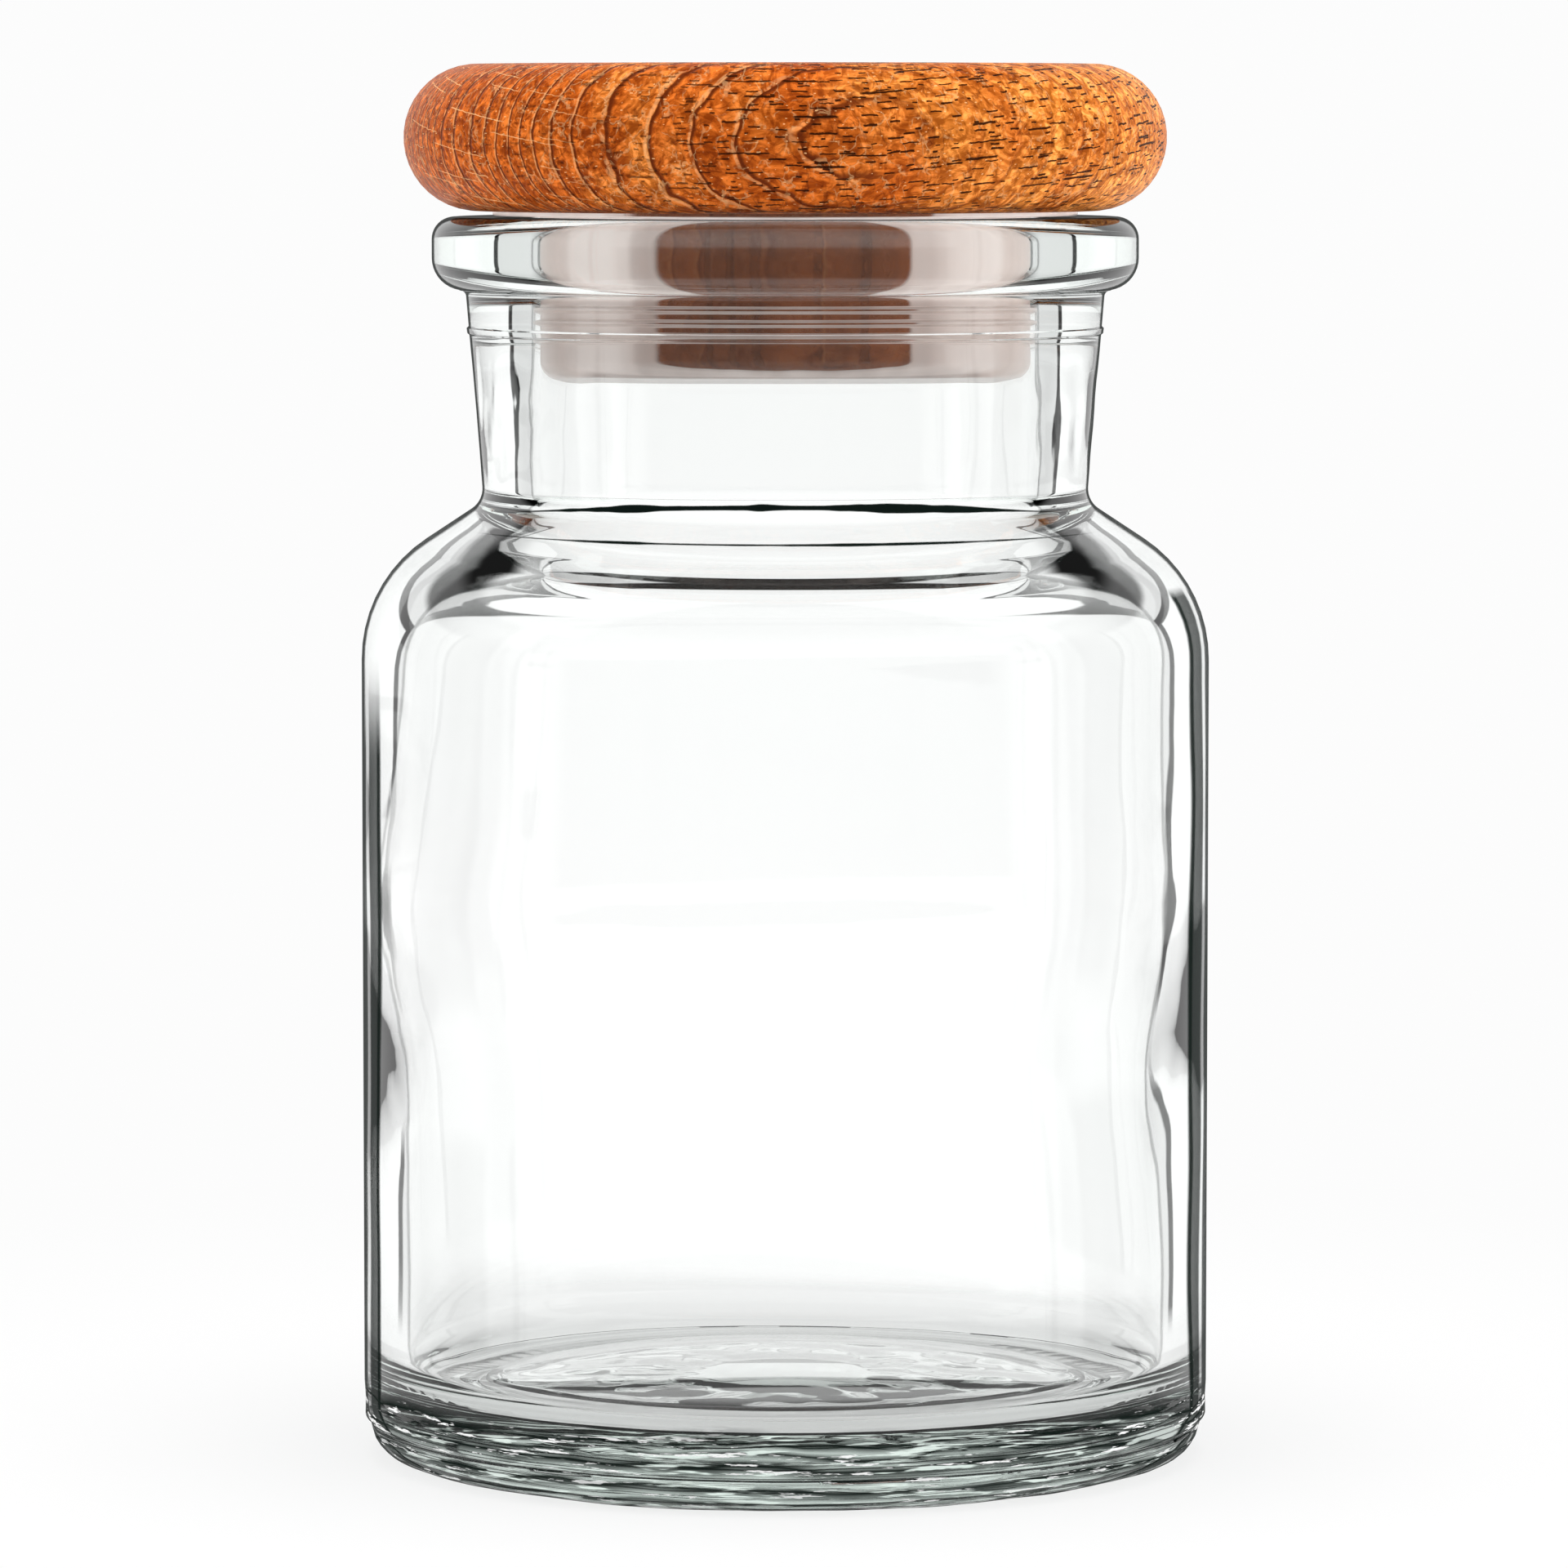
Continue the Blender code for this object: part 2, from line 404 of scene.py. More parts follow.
    def ramp(self, value: Feed, levels: Levels) -> Socket:
        """Turns a value into a grey.

        Args:
            value: What is looked up.
            levels: Place and grey of each stop, in rising order.

        Returns:
            The grey.
        """
        made = self.node("ValToRGB", {0: value})
        elements = made.color_ramp.elements
        for element, (place, level) in zip(elements, (levels[0], levels[-1])):
            element.position, element.color = place, grey(level)
        for place, level in levels[1:-1]:
            elements.new(place).color = grey(level)
        return made.outputs[0]

    def matt(self, colour: Feed) -> Socket:
        """A matt shader."""
        return self.node("BsdfDiffuse", {"Color": colour}).outputs[0]

    def mix_shader(self, factor: Feed, first: Feed, second: Feed) -> Socket:
        """Mixes two shaders by a factor, which is the share of the second."""
        return self.node("MixShader", {0: factor, 1: first, 2: second}).outputs[0]


def rgba(colour: Colour) -> tuple[float, float, float, float]:
    """An opaque RGBA colour."""
    return (*colour, 1.0)


def grey(level: float) -> tuple[float, float, float, float]:
    """An opaque grey."""
    return rgba((level,) * 3)


def new_material(name: str) -> tuple[bpy.types.Material, Graph]:
    """Makes a node material with an empty tree.

    Args:
        name: The material's name.

    Returns:
        The material and its graph.
    """
    material = bpy.data.materials.new(name)
    material.use_nodes = True
    return material, Graph(material.node_tree)


class PaintedLine(NamedTuple):
    """A thin line of painted shade round the front of the neck's foot: its heights, and half its
    thickness.
    """

    at_sides: float
    at_front: float
    thickest: float


@dataclass(frozen=True)
class ClearGlass:
    """Soda-lime glass, clear in the wall and grey-green where it is thick, with painted shade and painted
    glints.

    Lengths are in metres. Waves are counted in each metre, along X, Y and Z. Levels give strengths
    by place, and a fade's strength changes over its range.
    """

    ior: float = 1.52
    tint: Colour = (0.72, 0.86, 0.79)
    density: float = 16.0
    # Colour of the painted shade: dark matt paint that stands in for the dark room seen through the glass.
    dark: Colour = (0.006, 0.011, 0.009)
    shadow: float = 0.93
    # Painted shade: a dark outline where the glass is seen edge on, kept off the floor by the next two
    # fades.
    outline: Fade = Fade(0.86, 0.90, 0.0, 0.9)
    above_floor: Fade = Fade(6.8 * MM, 8.0 * MM)
    beside_floor: Fade = Fade(25.6 * MM, 26.6 * MM)
    # Painted shade: dark stripes beside the upright wall, set by how edge on the glass is seen.
    stripe_wall: Fade = Fade(28.8 * MM, 29.3 * MM)
    stripe_top: Fade = Fade(58.0 * MM, 66.0 * MM, 1.0, 0.0)
    stripe_lean: float = 0.25
    stripe_waves: Axes = (60.0, 60.0, 28.0)
    stripe_sway: Fade = Fade(*COMMON, -0.025, 0.025)
    stripe_levels: Levels = (
        (0.715, 0.0),
        (0.732, 0.97),
        (0.750, 0.98),
        (0.762, 0.84),
        (0.822, 0.88),
        (0.836, 0.12),
        (0.862, 0.08),
        (0.876, 0.85),
        (0.95, 0.9),
    )
    # Painted shade: two thin dark lines at the front of the neck's foot.
    painted_lines: tuple[PaintedLine, ...] = (
        PaintedLine(67.8 * MM, 69.4 * MM, 0.34 * MM),
        PaintedLine(67.3 * MM, 66.95 * MM, 0.10 * MM),
    )
    painted_line_waves: Axes = (160.0, 160.0, 160.0)
    painted_line_swell: Fade = Fade(0.45, 1.0)
    painted_line_thins: Fade = Fade(*CLOSE, 0.45, 1.0)
    painted_line_edge: Fade = Fade(-0.03 * MM, 0.05 * MM, 1.0, 0.0)
    painted_line_ends: Fade = Fade(0.42, 0.6)
    painted_line_skin: Fade = Fade(20.0 * MM, 20.4 * MM)
    # Painted shade and painted highlights: heel_* draw dark streaks on the heel, glint_* white glints
    # between them.
    heel_height: float = 6.3 * MM
    heel_skin: Fade = Fade(24.0 * MM, 26.5 * MM)
    heel_streaks: Axes = (170.0, 170.0, 2000.0)
    heel_layers: Layers = Layers(3.0, 0.6)
    heel_breaks: Fade = Fade(0.40, 0.47, 0.15, 1.0)
    heel_waves: Axes = (90.0, 90.0, 260.0)
    heel_sway: Fade = Fade(*COMMON, -0.05, 0.05)
    heel_levels: Levels = (
        (0.0, 0.3),
        (0.03, 0.95),
        (0.06, 0.2),
        (0.10, 0.95),
        (0.15, 0.3),
        (0.24, 0.8),
        (0.30, 1.0),
        (0.34, 0.4),
        (0.42, 0.3),
        (0.50, 0.8),
        (0.56, 1.0),
        (0.62, 0.5),
        (0.68, 1.0),
        (0.74, 0.4),
        (0.80, 1.0),
        (0.88, 0.6),
        (1.0, 0.0),
    )
    glint_waves: Axes = (180.0, 180.0, 2200.0)
    glint_layers: Layers = Layers(4.0, 0.7)
    glint_edge: Fade = Fade(0.60, 0.62, 0.0, 0.95)
    glint_levels: Levels = (
        (0.0, 0.0),
        (0.12, 1.0),
        (0.30, 0.7),
        (0.45, 1.0),
        (0.80, 1.0),
        (0.95, 0.0),
    )

    def edge(self, graph: Graph) -> tuple[Socket, Socket]:
        """How much dark matt paint covers the glass, most where it is seen edge on: painted shade that
        stands in for the dark room seen through it.

        Args:
            graph: The material's graph.

        Returns:
            The painted shade's share, from a thin dark outline everywhere, dark stripes beside the upright
            wall, painted dark lines at the neck's foot and the heel's streaks, and the strength of the
            heel's painted glints.
        """
        facing = graph.facing()
        place = graph.place()
        x, y, height = graph.axes(place)
        radius = graph.length(graph.vector(x, y))
        leaned = graph.minus(height, graph.times(x, self.stripe_lean))
        sway = graph.fade(graph.noise(graph.scaled(place, self.stripe_waves)), self.stripe_sway)
        stripes = graph.times(
            graph.ramp(graph.plus(facing, sway), self.stripe_levels),
            graph.fade(radius, self.stripe_wall),
            graph.fade(leaned, self.stripe_top),
        )
        streaks, glints = self.heel(graph, place, radius)
        painted_lines = [self.painted_line(graph, place, radius, painted_line) for painted_line in self.painted_lines]
        above = graph.fade(height, self.above_floor)
        off_floor = graph.most(above, graph.fade(radius, self.beside_floor))
        outline = graph.times(graph.fade(facing, self.outline), off_floor)
        return graph.most(outline, stripes, streaks, *painted_lines), glints

    def painted_line(self, graph: Graph, place: Feed, radius: Feed, painted_line: PaintedLine) -> Socket:
        """A thin uneven line of painted shade on the near side of the neck's foot, standing in for a dark
        line that refraction shows there.

        Args:
            graph: The material's graph.
            place: Place on the glass.
            radius: Distance of that place from the axis.
            painted_line: The line's size.

        Returns:
            The line's strength.
        """
        _, y, height = graph.axes(place)
        forward = graph.over(graph.times(y, -1.0), radius)
        level = graph.plus(graph.times(forward, painted_line.at_front - painted_line.at_sides), painted_line.at_sides)
        thins = graph.fade(graph.noise(graph.scaled(place, self.painted_line_waves)), self.painted_line_thins)
        half = graph.times(graph.fade(forward, self.painted_line_swell), thins, painted_line.thickest)
        off = graph.minus(graph.math("ABSOLUTE", graph.minus(height, level)), half)
        return graph.times(
            graph.fade(off, self.painted_line_edge),
            graph.fade(forward, self.painted_line_ends),
            graph.fade(radius, self.painted_line_skin),
            graph.ray("Is Camera Ray"),
        )

    def heel(self, graph: Graph, place: Feed, radius: Feed) -> tuple[Socket, Socket]:
        """Painted dark streaks and painted white glints round the near side of the thick heel, standing in
        for the light that pressed glass bends most there.

        Args:
            graph: The material's graph.
            place: Place on the glass.
            radius: Distance of that place from the axis.

        Returns:
            The strength of the painted dark streaks, and that of the painted glints between them.
        """
        streak = graph.noise(graph.scaled(place, self.heel_streaks), layers=self.heel_layers)
        sway = graph.fade(graph.noise(graph.scaled(place, self.heel_waves)), self.heel_sway)
        height = graph.plus(graph.times(graph.axes(place)[2], 1 / self.heel_height), sway)
        near = graph.times(graph.fade(radius, self.heel_skin), graph.ray("Is Camera Ray"))
        broken = graph.times(graph.ramp(height, self.heel_levels), graph.fade(streak, self.heel_breaks))
        sparkle = graph.noise(graph.scaled(place, self.glint_waves), layers=self.glint_layers)
        glints = graph.times(graph.ramp(height, self.glint_levels), graph.fade(sparkle, self.glint_edge))
        return graph.times(broken, near), graph.times(glints, near)

    def make(self) -> bpy.types.Material:
        """Builds the material: smooth glass that lets lamp light through, with a faint tint, dark matt
        paint for its painted shade and white matt paint for its painted glints.

        Returns:
            The material.
        """
        material, graph = new_material("clear_glass")
        feeds = {"Base Color": grey(1.0), "Roughness": 0.0, "IOR": self.ior, "Transmission Weight": 1.0}
        glass = graph.node("BsdfPrincipled", feeds).outputs[0]
        dark, bright = self.edge(graph)
        # Painted shade: dark matt paint over the glass.
        body = graph.mix_shader(dark, glass, graph.matt(rgba(self.dark)))
        # Painted highlights: white matt glints on the heel.
        body = graph.mix_shader(bright, body, graph.matt(grey(1.0)))
        clear = graph.node("BsdfTransparent", {"Color": grey(self.shadow)}).outputs[0]
        surface = graph.mix_shader(graph.ray("Is Shadow Ray"), body, clear)
        inside = graph.node("VolumeAbsorption", {"Color": rgba(self.tint), "Density": self.density})
        graph.node("OutputMaterial", {"Surface": surface, "Volume": inside.outputs[0]})
        return material


@dataclass(frozen=True)
class MilkySilicone:
    """Soft moulded silicone, half clear, with a satin skin.

    Its veil, partly its own milkiness and partly a painted reflection of the side lamps, thickens from the
    middle of the cup towards its sides, and thins in upright streaks.
    """

    colour: Colour = (0.80, 0.70, 0.65)
    milk: Colour = (1.0, 0.93, 0.90)
    shadow: Colour = (0.82, 0.78, 0.76)
    ior: float = 1.41
    clearness: float = 0.97
    roughness: float = 0.14
    mottle_scale: float = 180.0
    mottle_layers: Layers = Layers(3.0)
    skin_strength: float = 0.06
    skin_depth: float = 0.1 * MM
    passes: float = 0.3
    # Strength of a painted glow that the milk gives off, rising from below the rim to it.
    scatter: Fade = Fade(83.4 * MM, 85.0 * MM, 0.11, 0.30)
    streak_waves: Axes = (260.0, 260.0, 14.0)
    streak_sway: Fade = Fade(*COMMON, -0.02, 0.02)
    streak_thins: Fade = Fade(*CLOSE, 0.78, 1.0)
    # Veil strength by how far the skin turns away: part milkiness, part painted reflection of the side
    # lamps.
    veil_levels: Levels = (
        (0.135, 0.0),
        (0.15, 0.62),
        (0.24, 0.86),
        (0.50, 0.90),
        (0.62, 0.60),
        (1.0, 0.42),
    )

    def sideways(self, graph: Graph) -> Socket:
        """How far an upright skin turns from the eye about the cup's axis, whatever the view's height.

        Args:
            graph: The material's graph.

        Returns:
            Nought where the skin faces the eye, one where it is seen edge on.
        """
        steep = graph.minus(1.0, graph.facing({"Normal": graph.vector(z=1.0)}))
        level = graph.math("SQRT", graph.minus(1.0, graph.times(steep, steep)))
        return graph.minus(1.0, graph.over(graph.minus(1.0, graph.facing()), level))

    def make(self) -> bpy.types.Material:
        """Builds the material: rough glass mixed with a milky body, with a painted glow that grows near
        the rim.

        Returns:
            The material.
        """
        material, graph = new_material("milky_silicone")
        place = graph.place()
        mottle = graph.noise(place, self.mottle_scale, self.mottle_layers)
        feeds = {"Strength": self.skin_strength, "Distance": self.skin_depth, "Height": mottle}
        skin = graph.node("Bump", feeds)
        feeds = {"Roughness": self.roughness, "IOR": self.ior, "Transmission Weight": self.clearness}
        feeds |= {"Base Color": rgba(self.colour), "Normal": skin.outputs[0]}
        clear = graph.node("BsdfPrincipled", feeds).outputs[0]
        streak = graph.noise(graph.scaled(place, self.streak_waves))
        side = graph.plus(self.sideways(graph), graph.fade(streak, self.streak_sway))
        # The veil: part milkiness, part painted reflection of the side lamps.
        veil = graph.times(graph.ramp(side, self.veil_levels), graph.fade(streak, self.streak_thins))
        passed = graph.node("BsdfTranslucent", {"Color": rgba(self.milk)}).outputs[0]
        milk = graph.mix_shader(self.passes, graph.matt(rgba(self.milk)), passed)
        # Painted glow: the milk gives off light of its own, more near the rim.
        scatter = graph.fade(graph.axes(place)[2], self.scatter)
        painted_glow = graph.node("Emission", {"Color": rgba(self.milk), "Strength": scatter}).outputs[0]
        milk = graph.node("AddShader", {0: milk, 1: painted_glow}).outputs[0]
        cast = graph.node("BsdfTransparent", {"Color": rgba(self.shadow)}).outputs[0]
        surface = graph.mix_shader(graph.ray("Is Shadow Ray"), graph.mix_shader(veil, clear, milk), cast)
        graph.node("OutputMaterial", {"Surface": surface})
        return material


@dataclass(frozen=True)
class Dashes:
    """Scattered dashes on the skin, such as open pores or rays.

    Args:
        patch: Length and width of the patch that each dash has to itself, in millimetres.
        half: Half of the longest dash's length, and of the thickest one's thickness.
        share: The share of patches that have a dash.
    """

    patch: Range
    half: Range
    share: float
    scatter: float = 0.95
    lengths: Fade = Fade(0.0, 1.0, 0.25, 1.0)
    thicknesses: Fade = Fade(0.0, 1.0, 0.6, 1.0)
    end: Fade = Fade(0.8, 1.0, 1.0, 0.0)
    edge: Fade = Fade(0.55, 1.0, 1.0, 0.0)

    def draw(self, graph: Graph, place: Feed, stretch: Feed = 1.0) -> Socket:
        """Draws the dashes.

        Args:
            graph: The material's graph.
            place: Place on the skin, in millimetres along the dashes and across them.
            stretch: By how much the dashes are longer there.

        Returns:
            One in a dash, falling to nought at its edge.
        """
        long, wide = self.patch
        scaled = graph.scaled(place, (1 / long, 1 / wide, 0.0))
        feeds = {"Vector": scaled, "Scale": 1.0, "Randomness": self.scatter}
        found = graph.node("TexVoronoi", feeds, voronoi_dimensions="2D").outputs
        luck = graph.node("SeparateColor", {0: found["Color"]}).outputs
        feeds = {0: scaled, 1: found["Position"]}
        offset = graph.node("VectorMath", feeds, operation="SUBTRACT").outputs[0]
        sides = [graph.math("ABSOLUTE", side) for side in graph.axes(offset)[:2]]
        longest = graph.times(graph.fade(luck[1], self.lengths), self.half[0], stretch)
        thickest = graph.times(graph.fade(luck[2], self.thicknesses), self.half[1])
        return graph.times(
            graph.fade(graph.over(graph.times(sides[0], long), longest), self.end),
            graph.fade(graph.over(graph.times(sides[1], wide), thickest), self.edge),
            graph.math("LESS_THAN", luck[0], self.share),
        )


@dataclass(frozen=True)
class Net:
    """A net of fine crooked lines, broken in places.

    Args:
        pitch: Size of the net's meshes, in millimetres.
        shift: How far this net lies from others of its size.
        strength: How strong its lines are.
    """

    pitch: float
    shift: float
    strength: float
    swirl_scale: float = 1.1
    swirl: float = 1.6
    gap_scale: float = 0.8
    line: Fade = Fade(0.025, 0.06, 1.0, 0.0)
    gaps: Fade = Fade(0.46, 0.60)

    def draw(self, graph: Graph, grain: Feed) -> Socket:
        """Draws the net.

        Args:
            graph: The material's graph.
            grain: Place in the wood.

        Returns:
            One on a line, falling to nought beside it.
        """
        moved = graph.node("VectorMath", {0: grain, 1: (self.shift,) * 3}, operation="ADD").outputs[0]
        swirl = graph.noise(moved, self.swirl_scale, channel="Color")
        crooked = graph.pushed(moved, swirl, (self.swirl,) * 3)
        feeds = {"Vector": crooked, "Scale": 1 / self.pitch}
        net = graph.node("TexVoronoi", feeds, feature="DISTANCE_TO_EDGE").outputs["Distance"]
        return graph.times(
            graph.fade(net, self.line),
            graph.fade(graph.noise(moved, self.gap_scale), self.gaps),
        )


class WoodPlace(NamedTuple):
    """Where a point of the wood lies, in millimetres.

    Straight and along follow the fibre. The grain sways and swells with the rim, the skin runs
    round and over it, and the slope tells how steeply the skin cuts the rings.
    """

    straight: Socket
    along: Socket
    grain: Socket
    skin: Socket
    slope: Socket


@dataclass(frozen=True)
class Oak:
    """Oiled oak with growth rings, open pores along the fibre and pale rays across the rings.

    The fibre lies flat, turned from +X by fibre_turn degrees, and the pattern's own lengths are in
    millimetres. Its rings bend a little with the lid's rounded rim, which is a centre's radius and
    height and a bend's radius. Fades named for a side change along the fibre, from the left to the
    right. The figure is the strength of all marks.
    """

    name: str
    rim: Axes = (23.7, 95.0, 5.2)
    pale: Colour = (0.93, 0.32, 0.055)
    warm: Colour = (0.56, 0.110, 0.010)
    line: Colour = (0.13, 0.020, 0.003)
    pore: Colour = (0.030, 0.006, 0.001)
    ray: Colour = (0.98, 0.56, 0.25)
    figure: float = 1.0
    fibre_turn: float = 11.5
    rim_follow: float = 2.5
    steepest: float = 0.14
    sway_scale: float = 0.16
    sway: Axes = (0.0, 0.7, 0.7)
    ring_width: float = 1.35
    ring_beat: Axes = (0.63, 0.5236, 98.0)
    ring_wobble: Fade = Fade(0.2, 0.8, -0.13, 0.13)
    ring_wobble_scale: float = 0.45
    ring_wobble_layers: Layers = Layers(1.5)
    pith: Range = (70.0, 95.0)
    left_side: Fade = Fade(-10.0, 3.0, 1.0, 0.0)
    cloud_scale: float = 0.16
    cloud_layers: Layers = Layers(3.0)
    cloud_warmth: Fade = Fade(*COMMON, -0.25, 0.45)
    side_warmth: Fade = Fade(-2.0, 20.0, 0.75, 0.12)
    # Painted shade: the far left end is blended towards the warm, darker colour.
    painted_left_shade: Fade = Fade(-24.0, -14.0, 0.35, 0.0)
    young_wood: Fade = Fade(0.0, 0.8, 0.95, 0.0)
    young_side: Fade = Fade(0.0, 1.0, 0.40, 1.0)
    fibre_waves: Axes = (0.4, 1.5, 1.5)
    fibre_layers: Layers = Layers(4.0, 0.65, 1.0)
    fibre_mottle: Fade = Fade(*MIDST, 1.25, 0.66)
    curl_scale: float = 0.6
    curl_layers: Layers = Layers(3.0, twist=2.5)
    curl_mottle: Fade = Fade(*MIDST, 0.66, 1.28)
    mottle_powers: Range = (1.35, 2.1)
    # Painted highlights: pale strips just before each ring line, on the left side and in the curl.
    painted_highlight_band: Axes = (0.05, 0.19, 0.08)
    painted_highlight_curl: Fade = Fade(0.35, 0.50)
    painted_highlight_strength: float = 0.36
    line_after: Fade = Fade(0.05, 0.20, 1.0, 0.0)
    line_before: Fade = Fade(0.0, 0.05, 1.0, 0.0)
    line_side: Fade = Fade(-3.0, 6.0, 0.95, 0.35)
    dark_net: Net = Net(1.7, 0.0, 0.40)
    pale_net: Net = Net(1.4, 37.0, 0.30)
    shake_scale: float = 1.6
    shake: Axes = (0.5, 0.28, 0.0)
    climb_from: float = 1.0
    climb: float = -0.12
    sink: float = 0.2
    rays: Dashes = Dashes((9.0, 1.3), (4.0, 0.07), 0.7)
    ray_side: Fade = Fade(-24.0, -14.0, 0.75, 0.0)
    flecks: Dashes = Dashes((0.7, 0.6), (0.12, 0.07), 0.35)
    fleck_strength: float = 0.7
    short_pores: Dashes = Dashes((1.7, 0.62), (0.70, 0.12), 0.62)
    long_pores: Dashes = Dashes((4.6, 1.2), (1.9, 0.14), 0.45)
    pore_length: Fade = Fade(-22.0, -4.0, 0.3, 1.0)
    pore_side: Fade = Fade(-20.0, -6.0, 0.5, 1.0)
    pore_strength: float = 0.96
    mottle_relief: float = 0.5
    line_relief: float = 0.6
    net_relief: float = 0.4
    relief_strength: float = 0.9
    relief_depth: float = 0.12 * MM
    roughness: float = 0.36
    shine: float = 0.10
    ior: float = 1.3

    def locate(self, graph: Graph) -> WoodPlace:
        """Finds a point's place in the wood and on its skin.

        Args:
            graph: The material's graph.

        Returns:
            The place.
        """
        centre, middle, bend = self.rim
        turn = (0.0, 0.0, -math.radians(self.fibre_turn))
        feeds = {"Vector": graph.place(), "Rotation": turn, "Scale": (1 / MM,) * 3}
        straight = graph.node("Mapping", feeds, vector_type="POINT").outputs[0]
        along, across, up = graph.axes(straight)
        flat = graph.vector(along, across)
        radius = graph.length(flat)
        over = graph.minus(radius, centre)
        outward = graph.most(graph.over(over, bend), 0.0)
        turn_here = graph.math("ARCTAN2", along, graph.times(across, -1.0))
        over_rim = graph.times(graph.math("ARCTAN2", graph.minus(up, middle), over), bend)
        on_rim = graph.vector(graph.times(turn_here, centre + bend), over_rim)
        skin = graph.blend(graph.math("LESS_THAN", over, 0.0), on_rim, flat)
        facing = graph.times(outward, graph.math("COSINE", turn_here))
        slope = graph.math("SQRT", graph.minus(1.0, graph.times(facing, facing)))
        swell = graph.plus(centre + bend - self.rim_follow, graph.times(outward, self.rim_follow))
        swell = graph.over(swell, graph.most(radius, centre))
        swollen = graph.scaled(straight, graph.vector(swell, swell, 1.0))
        grain = graph.pushed(swollen, graph.noise(straight, self.sway_scale, channel="Color"), self.sway)
        return WoodPlace(straight, along, grain, skin, graph.most(slope, self.steepest))

    def rings(self, graph: Graph, grain: Feed) -> Socket:
        """Place within a growth ring, from its start at 0 to its end at 1.

        Args:
            graph: The material's graph.
            grain: Place in the wood, in millimetres along the fibre, across and up.

        Returns:
            The place in the ring.
        """
        size, wave, start = self.ring_beat
        _, across, up = graph.axes(grain)
        across, up = graph.minus(across, self.pith[0]), graph.minus(up, self.pith[1])
        distance = graph.math("SQRT", graph.plus(graph.times(across, across), graph.times(up, up)))
        beat = graph.math("SINE", graph.times(graph.minus(distance, start), wave))
        wobble = graph.noise(grain, self.ring_wobble_scale, self.ring_wobble_layers)
        bent = graph.plus(distance, graph.times(beat, size), graph.fade(wobble, self.ring_wobble))
        return graph.math("FRACT", graph.over(bent, self.ring_width))

    def tone(self, graph: Graph, spot: WoodPlace) -> tuple[Socket, Socket, Socket]:
        """The wood's colour from its rings, fibre and curl, with painted highlights beside the ring lines,
        without lines across them.

        Args:
            graph: The material's graph.
            spot: Place in the wood.

        Returns:
            The colour, the mottling and the strength of the dark line at each ring's edge.
        """
        ring = self.rings(graph, spot.grain)
        left = graph.fade(spot.along, self.left_side)
        past = graph.over(graph.times(ring, self.ring_width), spot.slope)
        ahead = graph.over(graph.times(graph.minus(1.0, ring), self.ring_width), spot.slope)
        cloud = graph.noise(spot.grain, self.cloud_scale, self.cloud_layers)
        # The last part is painted shade that darkens the far left end.
        warmth = graph.plus(
            graph.fade(spot.along, self.side_warmth),
            graph.fade(cloud, self.cloud_warmth),
            graph.fade(spot.along, self.painted_left_shade),
        )
        young = graph.times(graph.fade(ring, self.young_wood), graph.fade(left, self.young_side))
        tone = graph.blend(warmth, rgba(self.pale), rgba(self.warm))
        tone = graph.blend(young, tone, rgba(self.warm))
        fibre = graph.noise(graph.scaled(spot.grain, self.fibre_waves), layers=self.fibre_layers)
        curl = graph.noise(spot.grain, self.curl_scale, self.curl_layers)
        mottle = graph.times(graph.fade(fibre, self.fibre_mottle), graph.fade(curl, self.curl_mottle))
        green, blue = (graph.math("POWER", mottle, power) for power in self.mottle_powers)
        mottled = graph.blend(1.0, tone, graph.vector(mottle, green, blue), "MULTIPLY")
        tone = graph.blend(self.figure, tone, mottled)
        # Painted highlights beside the ring lines.
        glow = graph.times(graph.band(ahead, *self.painted_highlight_band), left, graph.fade(curl, self.painted_highlight_curl))
        tone = graph.blend(graph.times(glow, self.painted_highlight_strength * self.figure), tone, rgba(self.ray))
        line = graph.most(graph.fade(past, self.line_after), graph.fade(ahead, self.line_before))
        line = graph.times(line, graph.fade(spot.along, self.line_side), self.figure)
        return graph.blend(line, tone, rgba(self.line)), mottle, line

    def marks(self, graph: Graph, spot: WoodPlace, tone: Socket) -> tuple[Socket, Socket]:
        """Draws rays, flecks and open pores on the skin.

        Args:
            graph: The material's graph.
            spot: Place in the wood.
            tone: Colour of the wood under them.

        Returns:
            The colour with the marks on it, and the pores.
        """
        shake = graph.noise(spot.straight, self.shake_scale, channel="Color")
        shaken = graph.pushed(spot.skin, shake, self.shake)
        along, across, _ = graph.axes(shaken)
        tilt = graph.times(graph.most(graph.minus(along, self.climb_from), 0.0), self.climb)
        climbing = graph.vector(along, graph.plus(across, tilt))
        sinking = graph.vector(along, graph.plus(across, graph.times(along, self.sink)))
        ray_side = graph.fade(spot.along, self.ray_side)
        rays = graph.times(self.rays.draw(graph, sinking), ray_side, self.figure)
        flecks = graph.times(self.flecks.draw(graph, climbing), self.fleck_strength * self.figure)
        length = graph.fade(spot.along, self.pore_length)
        kinds = (self.long_pores, self.short_pores)
        pores = graph.most(*(kind.draw(graph, climbing, length) for kind in kinds))
        pores = graph.times(pores, graph.fade(spot.along, self.pore_side))
        open_share = graph.times(pores, self.pore_strength * self.figure)
        tone = graph.blend(rays, tone, rgba(self.ray))
        tone = graph.blend(flecks, tone, rgba(self.ray))
        return graph.blend(open_share, tone, rgba(self.pore)), pores

